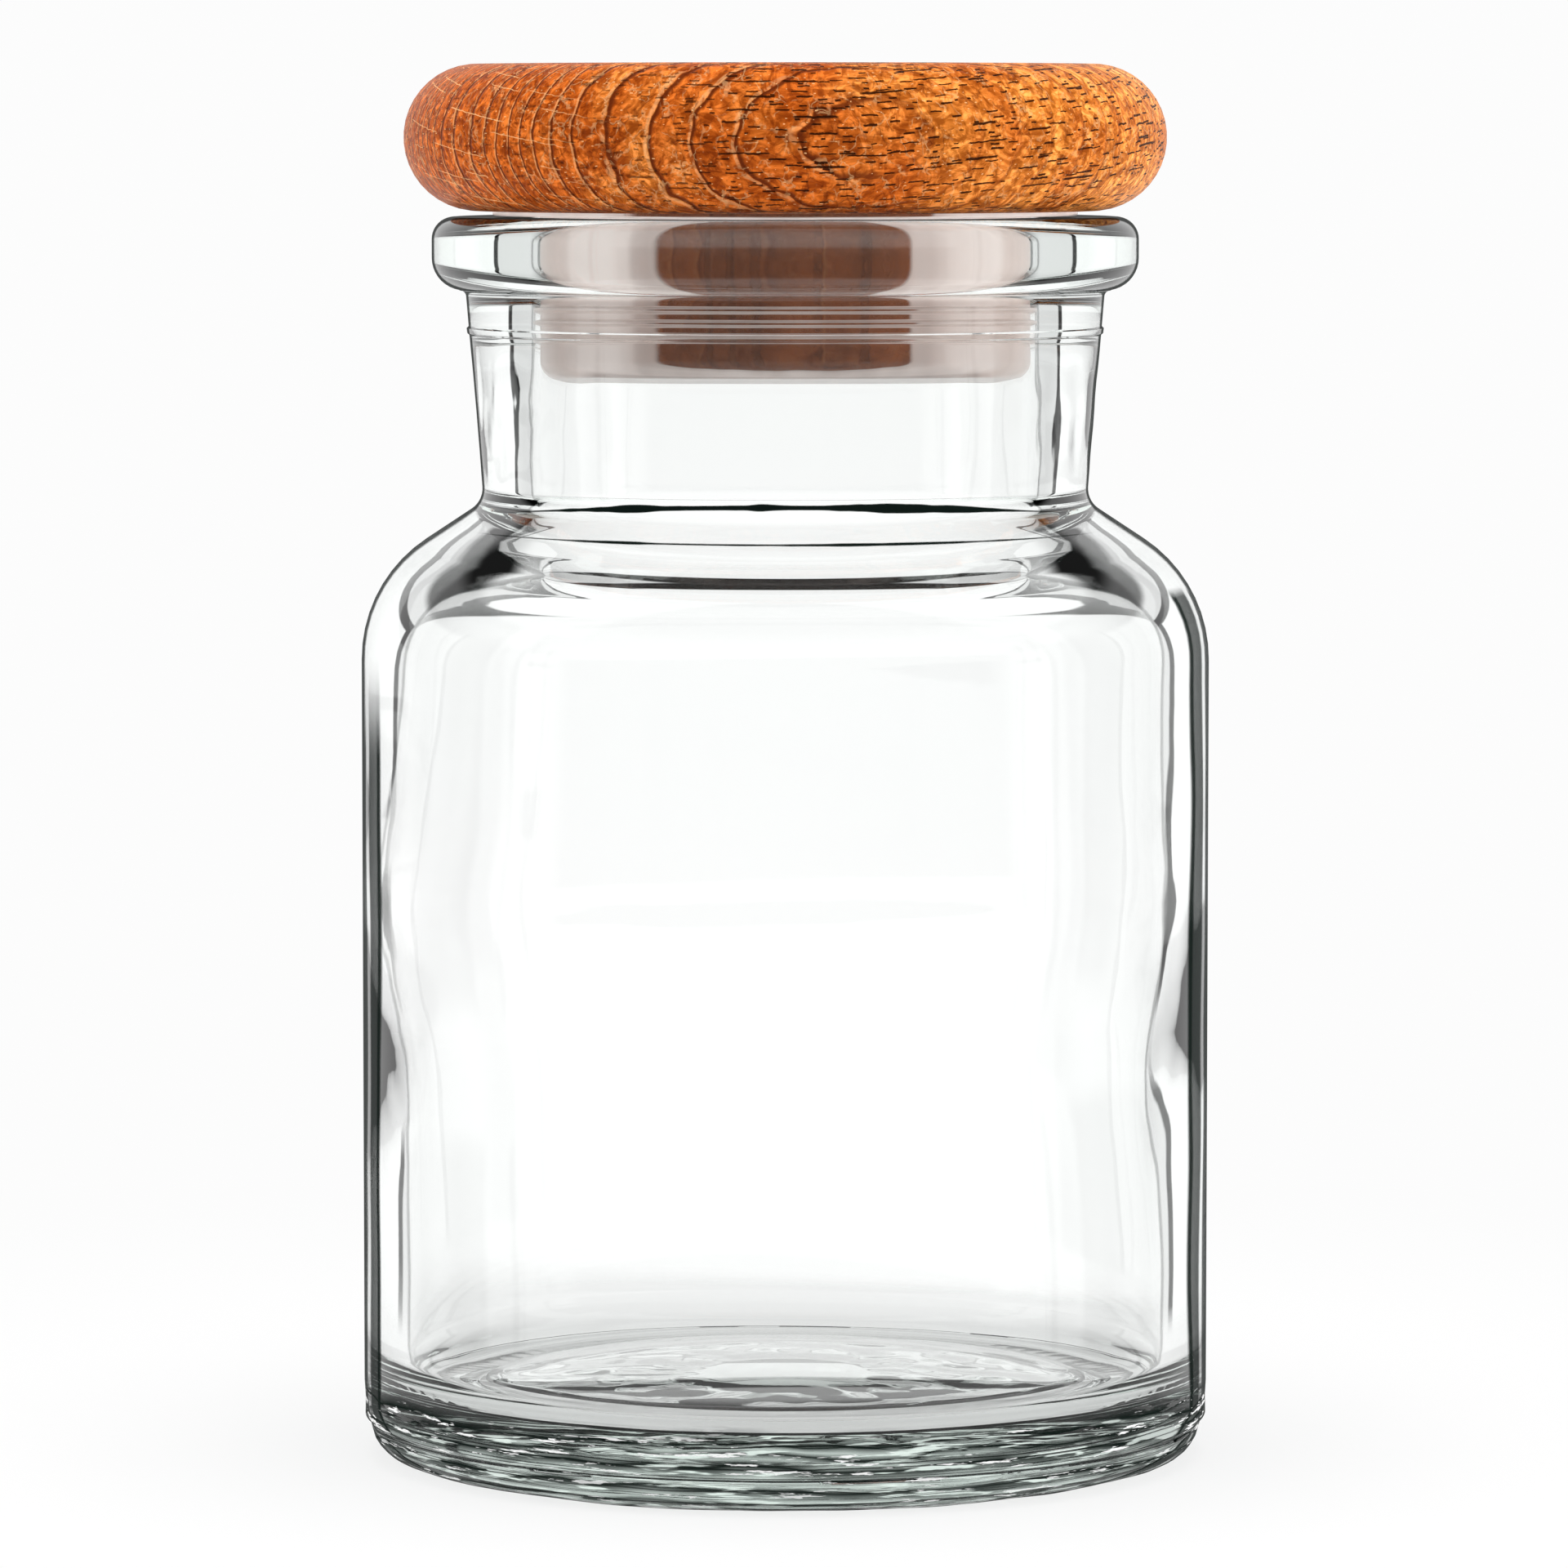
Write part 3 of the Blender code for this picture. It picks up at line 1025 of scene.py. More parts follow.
    def make(self) -> bpy.types.Material:
        """Builds the material: the wood's tone, its nets and marks, and their relief.

        Returns:
            The material.
        """
        material, graph = new_material(self.name)
        spot = self.locate(graph)
        tone, mottle, line = self.tone(graph, spot)
        nets = []
        for net, colour in ((self.dark_net, self.line), (self.pale_net, self.ray)):
            nets.append(net.draw(graph, spot.grain))
            tone = graph.blend(graph.times(nets[-1], net.strength * self.figure), tone, rgba(colour))
        tone, pores = self.marks(graph, spot, tone)
        relief = graph.minus(graph.times(mottle, self.mottle_relief), pores)
        relief = graph.minus(relief, graph.times(line, self.line_relief))
        relief = graph.plus(relief, graph.times(graph.minus(nets[1], nets[0]), self.net_relief))
        feeds = {"Strength": self.relief_strength, "Distance": self.relief_depth, "Height": relief}
        bump = graph.node("Bump", feeds).outputs[0]
        feeds = {"Base Color": tone, "Roughness": self.roughness, "IOR": self.ior, "Normal": bump}
        body = graph.node("BsdfPrincipled", {**feeds, "Specular IOR Level": self.shine})
        graph.node("OutputMaterial", {"Surface": body.outputs[0]})
        return material


@dataclass(frozen=True)
class PaleFloor:
    """A white table that fades into the white round it and keeps a faint shadow near the jar."""

    white: float = 0.975
    paint: float = 0.9
    shadow_share: float = 0.30
    shadow_reach: Range = (0.02, 0.16)
    seen_through_glass: Fade = Fade(0.080, 0.104)
    # Painted shadow: how bright glass sees the floor under the jar.
    painted_shadow_under_jar: float = 0.65
    jar_foot: Range = (0.026, 0.042)

    def make(self) -> bpy.types.Material:
        """Builds the material. Light bounces off it as off plain white paint, and glass sees a painted
        shadow on it under the jar.

        Returns:
            The material.
        """
        material, graph = new_material("pale_floor")
        distance = graph.length(graph.place())
        paint = graph.matt(grey(self.paint))
        # Painted shadow: for rays through glass, the floor's glow is darker under the jar.
        shade = graph.fade(distance, Fade(*self.jar_foot, self.painted_shadow_under_jar, self.white))
        level = graph.blend(graph.ray("Is Transmission Ray"), grey(self.white), shade)
        glow = graph.node("Emission", {"Color": level}).outputs[0]
        share = graph.fade(distance, Fade(*self.shadow_reach, self.shadow_share, 0.0))
        by_glass = graph.most(graph.ray("Is Glossy Ray"), graph.ray("Is Transmission Ray"))
        seen = graph.most(graph.ray("Is Camera Ray"), by_glass)
        plain = graph.mix_shader(seen, paint, graph.mix_shader(share, glow, paint))
        beyond = graph.times(by_glass, graph.fade(distance, self.seen_through_glass))
        clear = graph.node("BsdfTransparent").outputs[0]
        graph.node("OutputMaterial", {"Surface": graph.mix_shader(beyond, plain, clear)})
        return material


@dataclass(frozen=True)
class Swell:
    """A swell or hollow all round the wall.

    Args:
        depth: How deep it is at its middle height.
        middle: That height.
        reach: How far up and down it reaches.
    """

    depth: float
    middle: float
    reach: float

    def at(self, height: float) -> float:
        """Its depth at a height."""
        return self.depth * math.exp(-(((height - self.middle) / self.reach) ** 2))


@dataclass(frozen=True)
class Unevenness:
    """How far a real jar's glass lies from its true shape.

    The inside of the body was blown: thin at mid height, thick over the floor and thicker on one
    side. A pitch is the size of a wave, a zone is a range of heights or radii, and a zone's ends
    are the lengths over which the unevenness dies away in it.

    Args:
        inner: Radius of the true inner wall.
        bore: Radius of the bore.
        columns: Columns of the mesh round the jar.
    """

    inner: float
    bore: float
    columns: int
    body_zone: Range = (12.0 * MM, 62.0 * MM)
    body_ends: Range = (22.0 * MM, 24.0 * MM)
    body_skin: Range = (-2.0 * MM, 0.2 * MM)
    thin: Swell = Swell(1.2 * MM, 42.0 * MM, 14.0 * MM)
    thick: Swell = Swell(0.35 * MM, 22.0 * MM, 8.0 * MM)
    lopsided: float = 0.6 * MM
    front_share: float = 0.2
    drift: Range = (0.20 * MM, 0.05 * MM)
    drift_turns: float = 1.5
    drift_pitch: float = 30.0 * MM
    finer_drift: float = 3.1
    ripple: float = 0.02 * MM
    ripple_pitch: Range = (2.5 * MM, 1.6 * MM)
    neck_zone: Range = (70.6 * MM, 80.6 * MM)
    neck_ends: Range = (2.0 * MM, 4.0 * MM)
    neck_skin: float = 6.0 * MM
    neck_middle: float = 1.5 * MM
    neck_sides: int = 4
    neck_swell: Range = (0.16 * MM, 0.02 * MM)
    neck_pitch: Axes = (4.0 * MM, 2.0 * MM, 5.0 * MM)
    finer_neck: float = 4.0
    stipple_height: float = 0.02 * MM
    stipple_width: float = 3.0 * MM
    stipple_pitch: float = 0.8 * MM
    stipple_depth: float = 0.14 * MM
    heel_height: float = 4.2 * MM
    heel_inside: float = 8.0 * MM
    heel_side: float = 1.5 * MM
    heel_lift: Range = (0.08 * MM, 0.12 * MM)
    heel_pitch: Axes = (5.0 * MM, 0.9 * MM, 0.5 * MM)
    heel_turns: float = 2.5
    heel_wave: float = 3.0 * MM
    side_gap: float = 0.01 * MM

    def body(self, angle: float, height: float) -> float:
        """How far the body's inner wall lies outwards.

        Args:
            angle: Angle round the jar, in radians.
            height: Height over the base.

        Returns:
            The distance.
        """
        low, high = self.body_zone
        share = min(1.0, (height - low) / self.body_ends[0], (high - height) / self.body_ends[1])
        sideways = self.front_share + (1 - self.front_share) * math.cos(angle) ** 2
        ripple = Vector((angle * self.inner / self.ripple_pitch[0], 0.0, height / self.ripple_pitch[1]))
        spot = Vector((math.cos(angle), math.sin(angle), 0.0)) * self.drift_turns
        spot.z = height / self.drift_pitch
        drift = noise.noise(spot) * self.drift[0] + noise.noise(spot * self.finer_drift) * self.drift[1]
        push = self.thin.at(height) - self.thick.at(height) - self.lopsided * math.cos(angle)
        push += (drift + noise.noise(ripple) * self.ripple) * sideways
        return push * share * share * (3 - 2 * share)

    def neck(self, angle: float, radius: float, height: float) -> float:
        """How far the neck's bore lies outwards, or its outside inwards, most at the jar's sides.

        Args:
            angle: Angle round the jar, in radians.
            radius: Distance from the axis.
            height: Height over the base.

        Returns:
            The distance outwards.
        """
        low, high = self.neck_zone
        share = min(1.0, (height - low) / self.neck_ends[0], (high - height) / self.neck_ends[1])
        long, deep, tall = self.neck_pitch
        spot = Vector((angle * radius / long, radius / deep, height / tall))
        swell = max(noise.noise(spot), 0.0) * self.neck_swell[0]
        swell += abs(noise.noise(spot * self.finer_neck)) * self.neck_swell[1]
        way = -1 if radius > self.bore + self.neck_middle else 1
        return way * swell * share * math.cos(angle) ** self.neck_sides

    def stippled(self, angle: float, radius: float) -> bool:
        """Whether the stipple in the ring that the jar stands on lifts its foot at a point.

        Args:
            angle: Angle round the jar, in radians.
            radius: Distance from the axis.

        Returns:
            True for a lifted point, which two of three are.
        """
        column = round(angle / math.tau * self.columns) % self.columns
        row = round((radius - self.inner) / self.stipple_pitch)
        return (column + row) % 3 != 0

    def heel(self, angle: float, radius: float, height: float) -> float:
        """How far the heel and the foot wander.

        Args:
            angle: Angle round the jar, in radians.
            radius: Distance from the axis.
            height: Height over the base.

        Returns:
            The distance, up or outwards.
        """
        long, deep, tall = self.heel_pitch
        streak = Vector((angle * self.inner / long, radius / deep, height / tall))
        swell = Vector((math.cos(angle), math.sin(angle), 0.0)) * self.heel_turns
        swell.z = radius / self.heel_wave
        return noise.noise(streak) * self.heel_lift[0] + noise.noise(swell) * self.heel_lift[1]

    def at(self, place: Vector) -> Vector:
        """How far glass at a point of the true shape lies from it.

        Args:
            place: The point.

        Returns:
            The glass's offset.
        """
        outwards = Vector((place.x, place.y, 0.0))
        radius, height = outwards.length, place.z
        outwards.normalize()
        angle = math.atan2(place.y, place.x)
        past_wall = radius - self.inner
        on_body = self.body_zone[0] < height < self.body_zone[1]
        if on_body and self.body_skin[0] < past_wall < self.body_skin[1]:
            return outwards * self.body(angle, height)
        if radius < self.bore + self.neck_skin and self.neck_zone[0] < height < self.neck_zone[1]:
            return outwards * self.neck(angle, radius, height)
        on_foot = height < self.stipple_height and past_wall > -self.stipple_width
        if on_foot and self.stippled(angle, radius):
            return Vector((0.0, 0.0, self.stipple_depth))
        if height > self.heel_height or radius < self.heel_inside:
            return Vector()
        lift = self.heel(angle, radius, height)
        if past_wall > self.heel_side:
            return outwards * (min(lift, 0.0) - self.side_gap)
        return Vector((0.0, 0.0, max(lift + self.heel_lift[0], 0.0)))


@dataclass
class GlassJar:
    """The jar, one piece of pressed glass: body, shoulder, neck with its bead, rim and base."""

    height: float
    body_radius: float
    heel_radius: float = 2.6 * MM
    heel_chamfer: float = 0.4 * MM
    heel_fillet: float = 0.3 * MM
    shoulder_rise: float = 5.8 * MM
    shoulder_fillet: float = 10.3 * MM
    bore_radius: float = 18.25 * MM
    neck_length: float = 20.4 * MM
    neck_wall: float = 3.45 * MM
    neck_flare: float = 1.25 * MM
    neck_fillet: float = 1.8 * MM
    rim_overhang: float = 2.42 * MM
    rim_depth: float = 5.25 * MM
    rim_top_fillet: float = 1.6 * MM
    rim_foot_fillet: float = 2.3 * MM
    rim_root_fillet: float = 0.5 * MM
    mouth_fillet: float = 0.6 * MM
    bead_drop: float = 2.6 * MM
    bead_height: float = 0.6 * MM
    bead_proud: float = 0.15 * MM
    wall: float = 3.1 * MM
    shoulder_wall: float = 3.3 * MM
    inner_shoulder_fillet: float = 7.0 * MM
    bore_foot_fillet: float = 2.6 * MM
    floor_thickness: float = 5.2 * MM
    floor_fillet: float = 2.9 * MM
    floor_crown: float = 1.0 * MM
    floor_step_radius: float = 21.5 * MM
    floor_step: float = 0.3 * MM
    bearing_width: float = 3.4 * MM
    bearing_fillet: float = 0.5 * MM
    push_up_slope: float = 1.6 * MM
    push_up: float = 1.0 * MM
    push_up_crown: float = 0.5 * MM
    push_up_fillet: float = 0.8 * MM
    columns: int = 288

    def inside(self, outline: Outline) -> None:
        """Draws from the middle of the floor up the wall and the bore to the top of the rim.

        Args:
            outline: The chain, whose tip is at the middle of the floor.
        """
        inner = self.body_radius - self.wall
        neck_foot = self.height - self.neck_length
        foot_radius = self.bore_radius + self.neck_wall
        slope = Vector((foot_radius - self.body_radius, self.shoulder_rise)).normalized()
        on_slope = Vector((self.body_radius, neck_foot - self.shoulder_rise))
        on_slope += self.shoulder_wall * Vector((-slope.y, slope.x))
        shoulder = on_slope + slope * ((inner - on_slope.x) / slope.x)
        bore_foot = on_slope + slope * ((self.bore_radius - on_slope.x) / slope.x)
        outline.dome_out(self.floor_step_radius, self.floor_crown)
        step_foot = outline.tip.co.z - self.floor_step
        outline.through(
            [
                Corner(self.floor_step_radius + self.floor_step, step_foot, self.floor_step),
                Corner(inner, self.floor_thickness, self.floor_fillet),
                Corner(inner, shoulder.y, self.inner_shoulder_fillet),
                Corner(self.bore_radius, bore_foot.y, self.bore_foot_fillet),
                Corner(self.bore_radius, self.height, self.mouth_fillet),
                Corner(foot_radius, self.height),
            ]
        )

    def outside(self, outline: Outline) -> None:
        """Draws from the top of the rim down the outside to the heel.

        Args:
            outline: The chain, whose tip is on top of the rim.
        """
        neck_foot = self.height - self.neck_length
        foot_radius = self.bore_radius + self.neck_wall
        top_radius = foot_radius + self.neck_flare
        rim_foot = self.height - self.rim_depth
        rim = top_radius + self.rim_overhang
        bead_top = rim_foot - self.bead_drop
        bead_foot = bead_top - self.bead_height
        taper = self.neck_flare / (rim_foot - neck_foot)
        above, below = (foot_radius + taper * (z - neck_foot) for z in (bead_top, bead_foot))
        soft = self.bead_height / 5
        outline.through(
            [
                Corner(rim, self.height, self.rim_top_fillet),
                Corner(rim, rim_foot, self.rim_foot_fillet),
                Corner(top_radius, rim_foot, self.rim_root_fillet),
                Corner(above, bead_top, soft),
                Corner(above + self.bead_proud, bead_top - soft, soft / 2),
                Corner(below + self.bead_proud, bead_foot + soft, soft / 2),
                Corner(below, bead_foot, soft),
                Corner(foot_radius, neck_foot, self.neck_fillet),
                Corner(self.body_radius, neck_foot - self.shoulder_rise, self.shoulder_fillet),
                Corner(self.body_radius, self.heel_radius + self.heel_chamfer),
            ]
        )

    def underside(self, outline: Outline) -> None:
        """Draws the heel, the ring that the jar stands on and the push-up inside it.

        Args:
            outline: The chain, whose tip is at the foot of the wall.
        """
        side = self.body_radius - self.heel_chamfer
        ring_inside = side - self.heel_radius - self.bearing_width
        dome_foot = ring_inside - self.push_up_slope
        outline.through(
            [
                Corner(side, self.heel_radius, self.heel_fillet),
                Corner(side, 0.0, self.heel_radius),
                Corner(ring_inside, 0.0, self.bearing_fillet),
                Corner(dome_foot, self.push_up, self.push_up_fillet),
                Corner(dome_foot - self.push_up_slope, self.push_up),
            ]
        )
        outline.dome_in(self.push_up_crown)

    def make(self, finish: bpy.types.Material) -> bpy.types.Object:
        """Builds the jar.

        Args:
            finish: The glass.

        Returns:
            The jar's piece.
        """
        outline = Outline(Corner(0.0, self.floor_thickness + self.floor_step + self.floor_crown))
        self.inside(outline)
        self.outside(outline)
        self.underside(outline)
        jar = outline.spin("jar_glass", self.columns)
        uneven = Unevenness(self.body_radius - self.wall, self.bore_radius, self.columns)
        for vertex in jar.data.vertices:
            vertex.co += uneven.at(vertex.co)
        jar.data.materials.append(finish)
        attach(jar, Body.JAR.value)
        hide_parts("glass_jar")
        return jar


@dataclass
class StopperCup:
    """The soft cup, with three lips on its side and a thin flange that lies on the rim."""

    seat: float
    bore_radius: float = 18.25 * MM
    bore_fillet: float = 0.5 * MM
    mouth_fillet: float = 0.2 * MM
    flange_overlap: float = 2.75 * MM
    flange_thickness: float = 0.48 * MM
    flange_fillet: float = 0.15 * MM
    flange_root: float = 0.25 * MM
    seat_gap: float = 0.10 * MM
    depth: float = 11.0 * MM
    body_radius: float = 17.6 * MM
    wall: float = 1.3 * MM
    floor: float = 0.5 * MM
    foot_fillet: float = 1.2 * MM
    lip_count: int = 3
    lip_pitch: float = 1.0 * MM
    lip_radius: float = 18.12 * MM
    lip_height: float = 0.55 * MM
    lip_edge: float = 0.3
    lip_fillets: Range = (0.08 * MM, 0.06 * MM)
    last_lip_rise: float = 2.8 * MM
    columns: int = 256

    def lips(self, foot: float) -> list[Corner]:
        """Corners of the lips, from the top one down.

        Args:
            foot: Height of the cup's underside.

        Returns:
            The corners.
        """
        root, tip = self.lip_fillets
        half = self.lip_height / 2
        corners = []
        for number in reversed(range(self.lip_count)):
            middle = foot + self.last_lip_rise + number * self.lip_pitch
            corners += [
                Corner(self.body_radius, middle + half, root),
                Corner(self.lip_radius, middle + half * self.lip_edge, tip),
                Corner(self.lip_radius, middle - half * self.lip_edge, tip),
                Corner(self.body_radius, middle - half, root),
            ]
        return corners

    def make(self, finish: bpy.types.Material) -> bpy.types.Object:
        """Builds the cup.

        Args:
            finish: The silicone.

        Returns:
            The cup's piece.
        """
        under = self.seat + self.seat_gap
        top = under + self.flange_thickness
        foot = under - self.depth
        bore = self.body_radius - self.wall
        flange = self.bore_radius + self.flange_overlap
        outline = Outline(Corner(0.0, foot + self.floor))
        outline.through(
            [
                Corner(bore, foot + self.floor, self.bore_fillet),
                Corner(bore, top, self.mouth_fillet),
                Corner(flange, top, self.flange_fillet),
                Corner(flange, under, self.flange_fillet),
                Corner(self.body_radius, under, self.flange_root),
                *self.lips(foot),
                Corner(self.body_radius, foot, self.foot_fillet),
                Corner(0.0, foot),
            ]
        )
        cup = outline.spin("stopper_silicone", self.columns)
        cup.data.materials.append(finish)
        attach(cup, Body.STOPPER.value)
        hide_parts("stopper_cup")
        return cup


@dataclass
class Lid:
    """The wooden disc with its rounded edge, and the core under it that the cup is pulled over.

    Its top, radius and foot are those of the disc.
    """

    top: float
    radius: float
    foot: float
    core_foot: float
    edge_radius: float = 5.25 * MM
    core_radius: float = 16.05 * MM
    core_fillet: float = 0.5 * MM
    tenon_radius: float = 4.0 * MM
    tenon_length: float = 4.5 * MM
    tenon_fillet: float = 0.5 * MM
    joint_gap: float = 0.15 * MM
    joint_fillet: float = 0.2 * MM
    socket_fillet: float = 0.3 * MM
    recess: float = 0.2 * MM
    recess_radius: float = 21.3 * MM
    columns: int = 256

    @property
    def underside(self) -> float:
        """Height of the recess that the cup's flange lies in."""
        return self.foot + self.recess

    def make_disc(self, finish: bpy.types.Material) -> bpy.types.Object:
        """Builds the disc.

        Args:
            finish: The oak.

        Returns:
            The disc's piece.
        """
        middle = (self.top + self.foot) / 2
        half = (self.top - self.foot) / 2
        centre = self.radius - self.edge_radius
        cut = math.asin(half / self.edge_radius)
        socket = self.tenon_radius + self.joint_gap
        roof = self.underside + self.tenon_length + self.joint_gap
        outline = Outline(Corner(0.0, self.top))
        outline.line(centre + self.edge_radius * math.cos(cut), self.top)
        outline.arc(centre, middle, -2 * cut)
        outline.through(
            [
                Corner(self.recess_radius, self.foot),
                Corner(self.recess_radius, self.underside),
                Corner(socket, self.underside, self.socket_fillet),
                Corner(socket, roof, self.joint_fillet),
                Corner(0.0, roof),
            ]
        )
        disc = outline.spin("lid_disc_oak", self.columns)
        disc.data.materials.append(finish)
        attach(disc, Body.LID.value)
        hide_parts("lid_disc")
        return disc

    def make_core(self, finish: bpy.types.Material) -> bpy.types.Object:
        """Builds the core with its tenon.

        Args:
            finish: The oak.

        Returns:
            The core's piece.
        """
        shoulder = self.underside - self.joint_gap
        outline = Outline(Corner(0.0, self.underside + self.tenon_length))
        outline.through(
            [
                Corner(self.tenon_radius, self.underside + self.tenon_length, self.tenon_fillet),
                Corner(self.tenon_radius, shoulder, self.joint_fillet),
                Corner(self.core_radius, shoulder, self.joint_fillet),
                Corner(self.core_radius, self.core_foot, self.core_fillet),
                Corner(0.0, self.core_foot),
            ]
        )
        core = outline.spin("lid_core_oak", self.columns)
        core.data.materials.append(finish)
        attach(core, Body.LID.value)
        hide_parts("lid_core")
        return core


@dataclass(frozen=True)
class Lamp:
    """A soft lamp that faces the jar.

    Args:
        name: The lamp's name.
        azimuth: Where it stands, in degrees from the camera's side towards +X.
        elevation: How high it stands, in degrees.
        reach: Its distance, in metres.
        size: Its width and height, in metres.
        power: Its power, in watts.
    """

    name: str
    azimuth: float
    elevation: float
    reach: float
    size: Range
    power: float
    aim_height: float = 0.06

    def hang(self) -> None:
        """Hangs the lamp, unseen itself by the camera and by glass."""
        data = bpy.data.lights.new(self.name, "AREA")
        data.shape = "RECTANGLE"
        data.size, data.size_y = self.size
        data.energy = self.power
        lamp = bpy.data.objects.new(self.name, data)
        turn, rise = math.radians(self.azimuth), math.radians(self.elevation)
        aim = Vector((math.sin(turn) * math.cos(rise), -math.cos(turn) * math.cos(rise), math.sin(rise)))
        lamp.location = Vector((0.0, 0.0, self.aim_height)) + self.reach * aim
        lamp.rotation_euler = aim.to_track_quat("Z", "Y").to_euler()
        lamp.visible_camera = lamp.visible_glossy = lamp.visible_transmission = False
        bpy.context.scene.collection.objects.link(lamp)


@dataclass
class Studio:
    """A white studio: pale floor, two tall soft lamps at the sides, one above, and a long lens.

    Fades named for a rise or a turn are crossed in degrees over the horizon, or round the jar from
    +Y. Window rings tell where, outwards from a window's middle, its frame and its wall begin, and
    how bright each is.
    """

    camera_distance: float = 0.5985
    camera_height: float = 0.09678
    camera_pitch: float = 4.619
    lens: float = 190.98
    sensor: float = 36.0
    shift: float = -0.0008
    nearest: float = 0.01
    floor_radius: float = 0.30
    floor_drop: float = 0.02 * MM
    floor_segments: int = 96
    white: float = 0.975
    room_light: float = 0.45
    lamps: tuple[Lamp, ...] = (
        Lamp("lamp_left", -76.0, 4.0, 0.9, (0.76, 0.9), 4.4),
        Lamp("lamp_right", 76.0, 4.0, 0.9, (0.76, 0.9), 7.2),
        Lamp("lamp_top", 0.0, 86.0, 0.8, (0.5, 0.5), 5.0),
    )
    window: float = 1.13
    window_half: float = 40.0
    framed_turn: Fade = Fade(95.0, 104.0, 1.0, 0.0)
    window_rises: tuple[Fade, ...] = (
        Fade(0.0, 13.5),
        Fade(13.5, 25.0, 0.0, 1.02),
        Fade(26.0, 60.0, 0.0, 0.5),
    )
    window_corner: Fade = Fade(-0.1, 0.1)
    frame: Fade = Fade(0.955, 0.98)
    frame_tone: float = 0.01
    reveal: Fade = Fade(1.03, 1.06)
    reveal_share: float = 0.75
    shade: Fade = Fade(1.55, 1.90)
    shade_tones: Range = (0.03, 0.01)
    beyond: Fade = Fade(2.08, 2.16)
    beyond_share: float = 0.9
    sill_rise: Fade = Fade(-22.0, -14.0, 1.0, 0.0)
    front_turn: Fade = Fade(104.0, 112.0)
    front_rise: Fade = Fade(-2.3, -1.7)
    front_tone: float = 0.015
    mirrored_turn: Fade = Fade(56.0, 66.0, 1.0, 0.0)
    mirrored_rise: Fade = Fade(30.0, 36.0, 1.0, 0.0)

    def place_camera(self) -> None:
        """Sets up the camera at the photograph's distance, height and angle."""
        data = bpy.data.cameras.new("camera")
        data.lens = self.lens
        data.sensor_width = self.sensor
        data.shift_x = self.shift
        data.clip_start = self.nearest
        camera = bpy.data.objects.new("camera", data)
        camera.location = (0.0, -self.camera_distance, self.camera_height)
        camera.rotation_euler = (math.radians(90.0 - self.camera_pitch), 0.0, 0.0)
        bpy.context.scene.collection.objects.link(camera)
        bpy.context.scene.camera = camera

    def lay_floor(self, finish: bpy.types.Material) -> None:
        """Lays a round floor under the jar.

        Args:
            finish: The floor's paint.
        """
        mesh = bmesh.new()
        sizes = {"radius": self.floor_radius, "segments": self.floor_segments}
        bmesh.ops.create_circle(mesh, cap_ends=True, **sizes)
        data = bpy.data.meshes.new("floor")
        mesh.to_mesh(data)
        mesh.free()
        floor = bpy.data.objects.new("floor", data)
        floor.location.z = -self.floor_drop
        data.materials.append(finish)
        bpy.context.scene.collection.objects.link(floor)

    def surround(self) -> None:
        """Surrounds the jar with white, and with a room that only glass shows, bent at its edges."""
        world = bpy.data.worlds.new("studio")
        bpy.context.scene.world = world
        world.use_nodes = True
        graph = Graph(world.node_tree)
        x, y, z = graph.axes(graph.node("TexCoord").outputs["Generated"])
        rise = graph.times(graph.math("ARCSINE", z), math.degrees(1.0))
        turn = graph.times(graph.math("ARCTAN2", graph.math("ABSOLUTE", x), y), math.degrees(1.0))
        seen = graph.blend(graph.ray("Is Camera Ray"), grey(self.room_light), grey(self.white))
        seen = graph.blend(graph.ray("Is Glossy Ray"), seen, self.mirrored(graph, rise, turn))
        seen = graph.blend(graph.ray("Is Transmission Ray"), seen, self.windows(graph, rise, turn))
        light = graph.node("Background", {"Color": seen, "Strength": 1.0})
        graph.node("OutputWorld", {"Surface": light.outputs[0]})

    def windows(self, graph: Graph, rise: Feed, turn: Feed) -> Socket:
        """What glass shows of the room round it: bright windows in dark frames, and dark walls.

        Args:
            graph: The world's graph.
            rise: Height of the direction over the horizon, in degrees.
            turn: Its azimuth from +Y, in degrees from 0 to 180.

        Returns:
            The room's colour in that direction.
        """
        side = graph.over(graph.math("PINGPONG", turn, 90.0), self.window_half)
        side = graph.times(side, graph.fade(turn, self.framed_turn))
        up = graph.plus(*(graph.fade(rise, fade) for fade in self.window_rises))
        out = graph.most(side, up)
        corner = graph.fade(graph.minus(up, side), self.window_corner)
        shade = graph.blend(corner, *(grey(tone) for tone in self.shade_tones))
        rings = (
            (self.frame, grey(self.frame_tone)),
            (self.reveal, grey(self.window * self.reveal_share)),
            (self.shade, shade),
            (self.beyond, grey(self.window * self.beyond_share)),
        )
        level = grey(self.window)
        for fade, tone in rings:
            level = graph.blend(graph.fade(out, fade), level, tone)
        level = graph.blend(graph.fade(rise, self.sill_rise), level, grey(self.window))
        front = graph.times(graph.fade(turn, self.front_turn), graph.fade(rise, self.front_rise))
        return graph.blend(front, level, grey(self.front_tone))

    def mirrored(self, graph: Graph, rise: Feed, turn: Feed) -> Socket:
        """What glass mirrors: pale behind it and dark before and over it, so its front stays clear.

        Args:
            graph: The world's graph.
            rise: Height of the direction over the horizon, in degrees.
            turn: Its azimuth from +Y, in degrees from 0 to 180.

        Returns:
            The room's colour in that direction.
        """
        pale = graph.times(graph.fade(turn, self.mirrored_turn), graph.fade(rise, self.mirrored_rise))
        return graph.blend(pale, grey(self.front_tone), grey(self.white))

    def set_up(self) -> None:
        """Builds the whole studio."""
        self.place_camera()
        self.lay_floor(PaleFloor(white=self.white).make())
        for lamp in self.lamps:
            lamp.hang()
        self.surround()
        bpy.context.scene.view_settings.view_transform = "Standard"


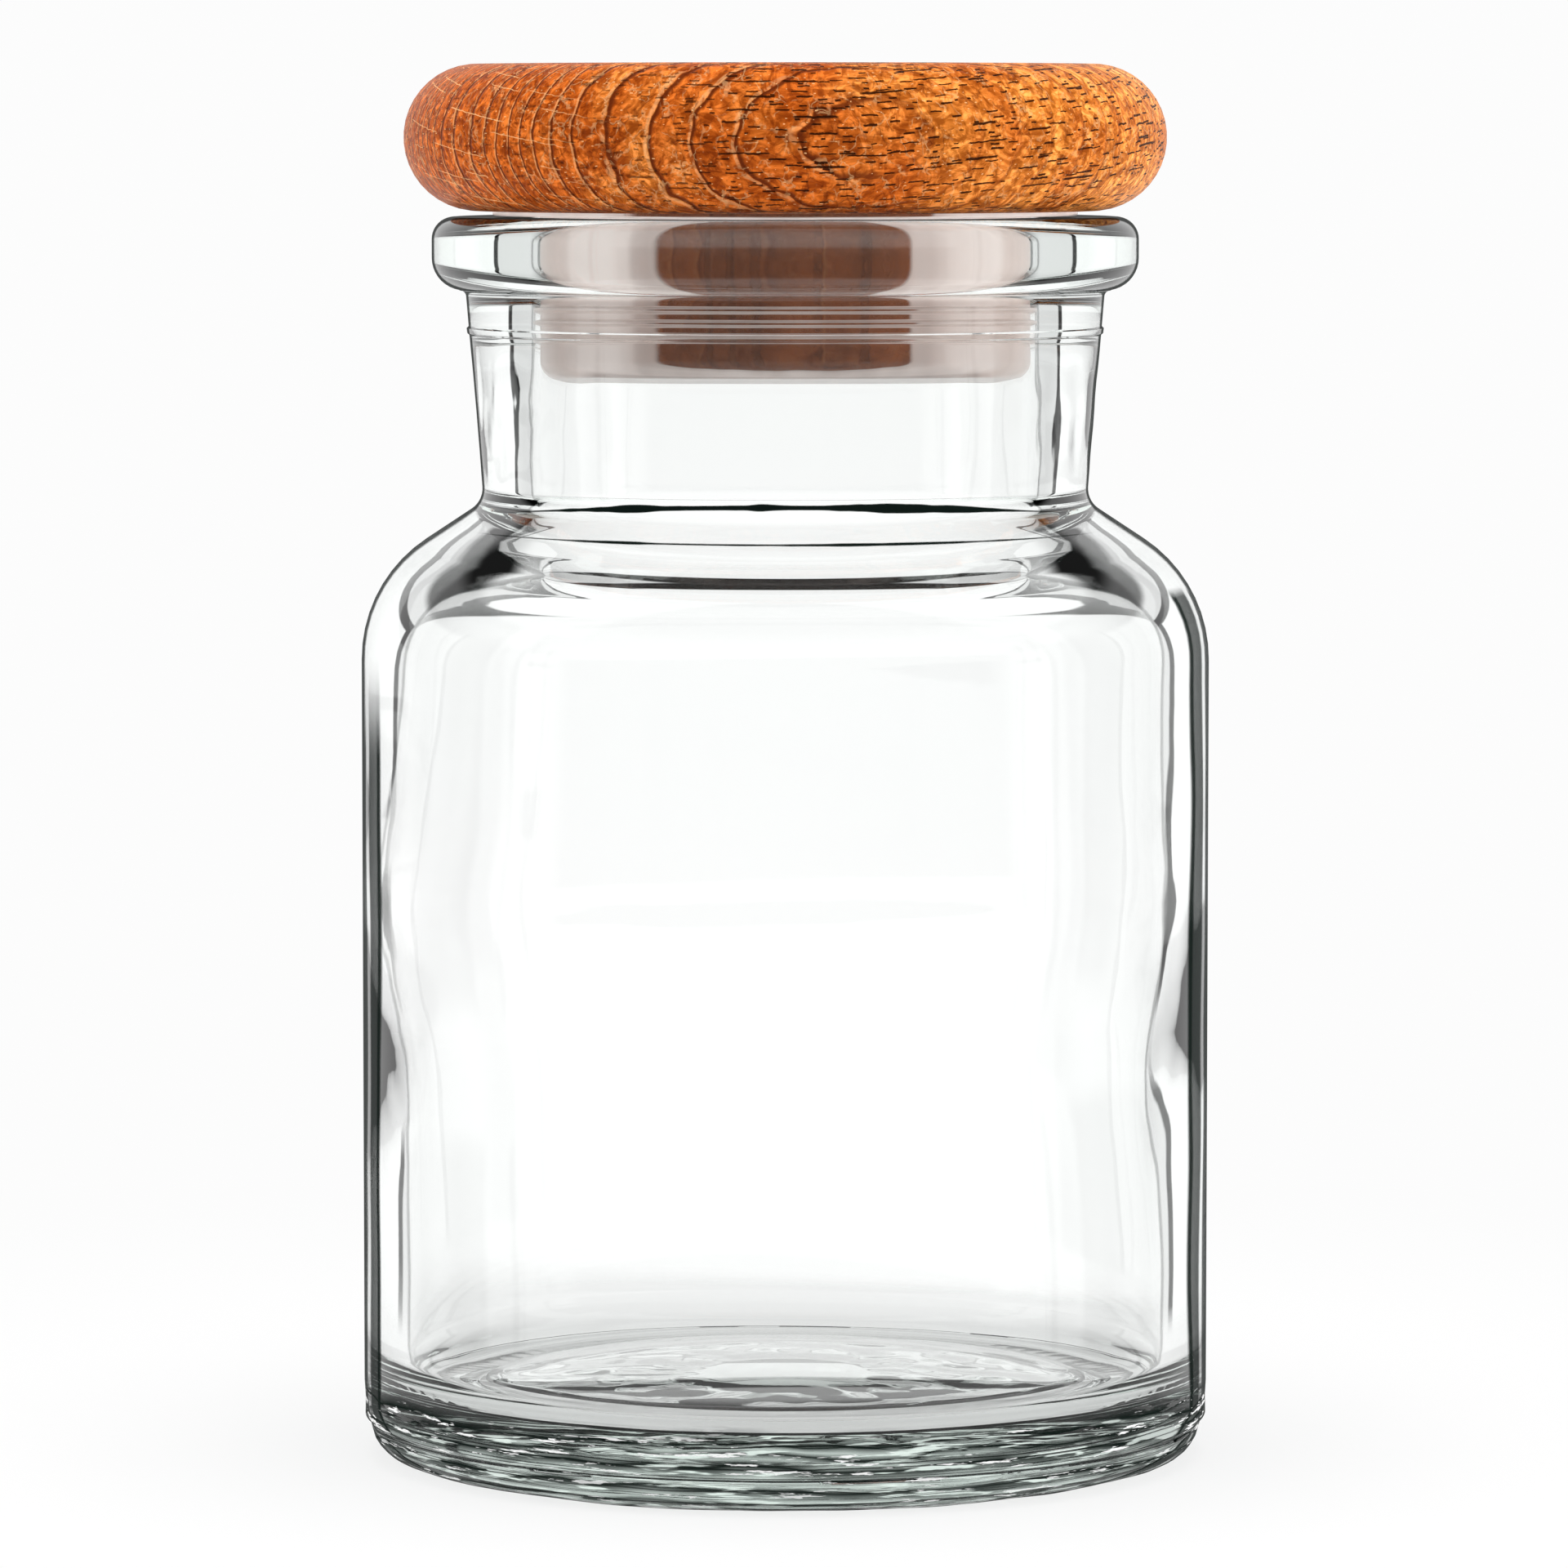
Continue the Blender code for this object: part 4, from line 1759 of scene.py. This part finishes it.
def main() -> None:
    """Builds the jar, the stopper, the lid and the studio round them."""
    _, jar_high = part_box("glass_jar")
    core_low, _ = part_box("lid_core")
    disc_low, disc_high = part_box("lid_disc")
    jar = GlassJar(height=jar_high.z, body_radius=jar_high.x)
    stopper = StopperCup(seat=jar_high.z)
    lid = Lid(disc_high.z, disc_high.x - DISC_INSET, disc_low.z - DISC_DROP, core_low.z)
    core_oak = Oak("core_oak", pale=(0.62, 0.23, 0.07), warm=(0.34, 0.12, 0.035), figure=0.25)
    pieces = [
        jar.make(ClearGlass().make()),
        stopper.make(MilkySilicone().make()),
        lid.make_disc(Oak("oiled_oak").make()),
        lid.make_core(core_oak.make()),
    ]
    for piece in pieces:
        LOG.info("%s: %d faces", piece.name, len(piece.data.polygons))
    Studio().set_up()


if __name__ == "__main__":
    logging.basicConfig(level=logging.INFO)
    main()
